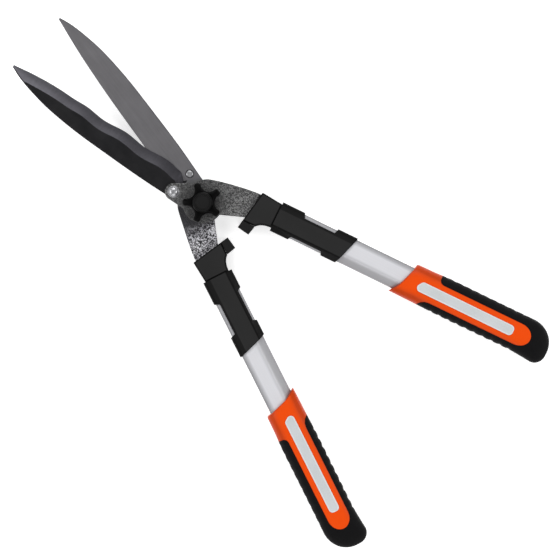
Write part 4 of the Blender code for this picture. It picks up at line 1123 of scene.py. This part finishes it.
def make_knob():
    """A star with a nut pocket below, and a round hub with a let-in, slightly domed cap above."""
    low, star_top, top = KNOB_LOW, KNOB_STAR_TOP, KNOB_TOP
    edge, pocket = KNOB_EDGE_RADIUS, KNOB_POCKET_RADIUS
    quarter = quarter_turn(6)
    rings = [round_ring(pocket, low + KNOB_POCKET_DEPTH), round_ring(pocket, low + 0.3 * MM)]
    rings.append(round_ring(pocket + 0.3 * MM, low))
    rings += [star_ring(low + edge * (1 - cos(a)), edge * (1 - sin(a))) for a in quarter]
    rings += [star_ring(star_top - edge * (1 - sin(a)), edge * (1 - cos(a))) for a in quarter]
    rings += [star_ring(star_top, edge, share) for share in (0.3, 0.6, 0.85, 1.0)]
    rings.append(round_ring(KNOB_HUB_RADIUS - 0.15 * MM, star_top + 0.2 * MM))
    hub, wall_top, soft = KNOB_HUB_RADIUS - 0.3 * MM, KNOB_HUB_WALL_TOP, KNOB_HUB_ROUND
    rings += [round_ring(hub - soft * (1 - cos(a)), wall_top + soft * sin(a)) for a in quarter]
    crown = wall_top + soft
    groove = ((0.35, 0.12), (0.15, -0.25), (-0.15, -0.25))
    rings += [round_ring(KNOB_CAP_RADIUS + step, crown + height) for step, height in in_metres(groove)]
    cap, cap_low = KNOB_CAP_RADIUS - 0.3 * MM, crown + KNOB_CAP_LIP
    for share in (0.0, 0.3, 0.55, 0.8, 0.96):
        rise = (top - cap_low) * sin(share * pi / 2)
        rings.append(round_ring(cap * (1 - share), cap_low + rise))
    bore_low, bore_top = low + 6 * MM, low + KNOB_BORE_DEPTH
    bore = [(0, bore_low), (PIVOT_HOLE_RADIUS, bore_low), (PIVOT_HOLE_RADIUS, bore_top), (0, bore_top)]
    mesh = cut(loft(rings), lathe(bore, 40))
    # The lobes take the darker copy of the knob's black, as painted shade, and the hub the lighter one.
    for polygon in mesh.polygons:
        in_hub = polygon.center.xy.length < KNOB_HUB_RADIUS and polygon.center.z > star_top
        polygon.material_index = 1 if in_hub else 0
    materials = [KNOB_SHADED_BLACK, KNOB_CAP]
    piece("tension_knob", mesh, Matrix.Identity(4), "knob", materials, "black_plastic", sharp=40)


def dress_cad_nodes():
    """Small steel parts keep their CAD shape, with rounded edges and a plated finish."""
    for node in ("pivot_bolt", "bolt_washer", "spring_washer", "thrust_washer", "knob_nut"):
        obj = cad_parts[node]
        obj.data.materials.clear()
        obj.data.materials.append(ZINC)
        round_edges(obj, 0.25 * MM, 2, 50)


for half in ("front", "rear"):
    make_blade(half)
    make_arm(half)
    make_rivet(half)
    make_head(half)
    make_pad(half)
    make_sleeve(half)
    make_tube(half)
    for label in SCREW_U:
        make_screw(half, label)
    make_grip(half)
    for sign in (1, -1):
        make_inlay(half, sign)
make_knob()
dress_cad_nodes()


# ---- floor, light and camera


def make_floor():
    """A pale light table: matt white, with a faint glow that keeps shadows soft."""
    mesh = bpy.data.meshes.new("floor")
    reach = FLOOR_SIZE / 2
    corners = [(x * reach, y * reach, FLOOR_Z) for x, y in ((-1, -1), (1, -1), (1, 1), (-1, 1))]
    mesh.from_pydata(corners, [], [(0, 1, 2, 3)])
    g = material_graph("floor")
    colour = g.colours(g.noise(8), (0.3, grey(0.86)), (0.7, grey(0.88)))
    g.feed(g.shader.inputs["Emission Color"], grey(1.0))
    glow = g.map(g.from_origin(), *FLOOR_REACH, *FLOOR_GLOW)
    g.feed(g.shader.inputs["Emission Strength"], glow)
    mesh.materials.append(g.finish(colour, 0.9, Specular_IOR_Level=0.1))
    placed("floor", mesh)


def make_world():
    """A bright band round the horizon that falls off to a dimmer sky overhead."""
    world = bpy.data.worlds.new("studio")
    bpy.context.scene.world = world
    g = Graph(world, "Generated")
    height = g.axis("Z")
    sky = g.map(height, 0.1, 0.7, SKY_HORIZON, SKY_ZENITH, "SMOOTHSTEP")
    band = g.map(height, 0.05, 0.1, 1.0, 0.0)
    background = g.tree.nodes["Background"]
    g.feed(background.inputs["Color"], grey(1.0))
    g.feed(background.inputs["Strength"], g.math("MAXIMUM", sky, band))


def make_lamp(index, turn, power):
    """A square softbox beside and above the shears, facing their middle."""
    data = bpy.data.lights.new(f"softbox_{index}", "AREA")
    data.shape = "RECTANGLE"
    data.size = LAMP_SIZE
    data.size_y = LAMP_SIZE
    data.energy = power
    lamp = placed(data.name, data)
    lamp.location = LAMP_TARGET + Vector((*polar(LAMP_DISTANCE, turn), LAMP_HEIGHT))
    direction = LAMP_TARGET - lamp.location
    lamp.rotation_euler = direction.to_track_quat("-Z", "Y").to_euler()


def make_camera():
    """Straight down on the blades, turned as in a plan view of the open shears."""
    data = bpy.data.cameras.new("camera")
    data.sensor_width = SENSOR_WIDTH
    data.lens = SENSOR_WIDTH * (CAMERA_HEIGHT - MID_Z) / VIEW_SPAN
    camera = placed("camera", data)
    camera.location = (*VIEW_CENTRE, CAMERA_HEIGHT)
    camera.rotation_euler = (0, 0, CAMERA_ROLL)
    bpy.context.scene.camera = camera


make_floor()
make_world()
for index, (turn, power) in enumerate(LAMPS):
    make_lamp(index, turn, power)
make_camera()
bpy.context.scene.view_settings.view_transform = "Standard"
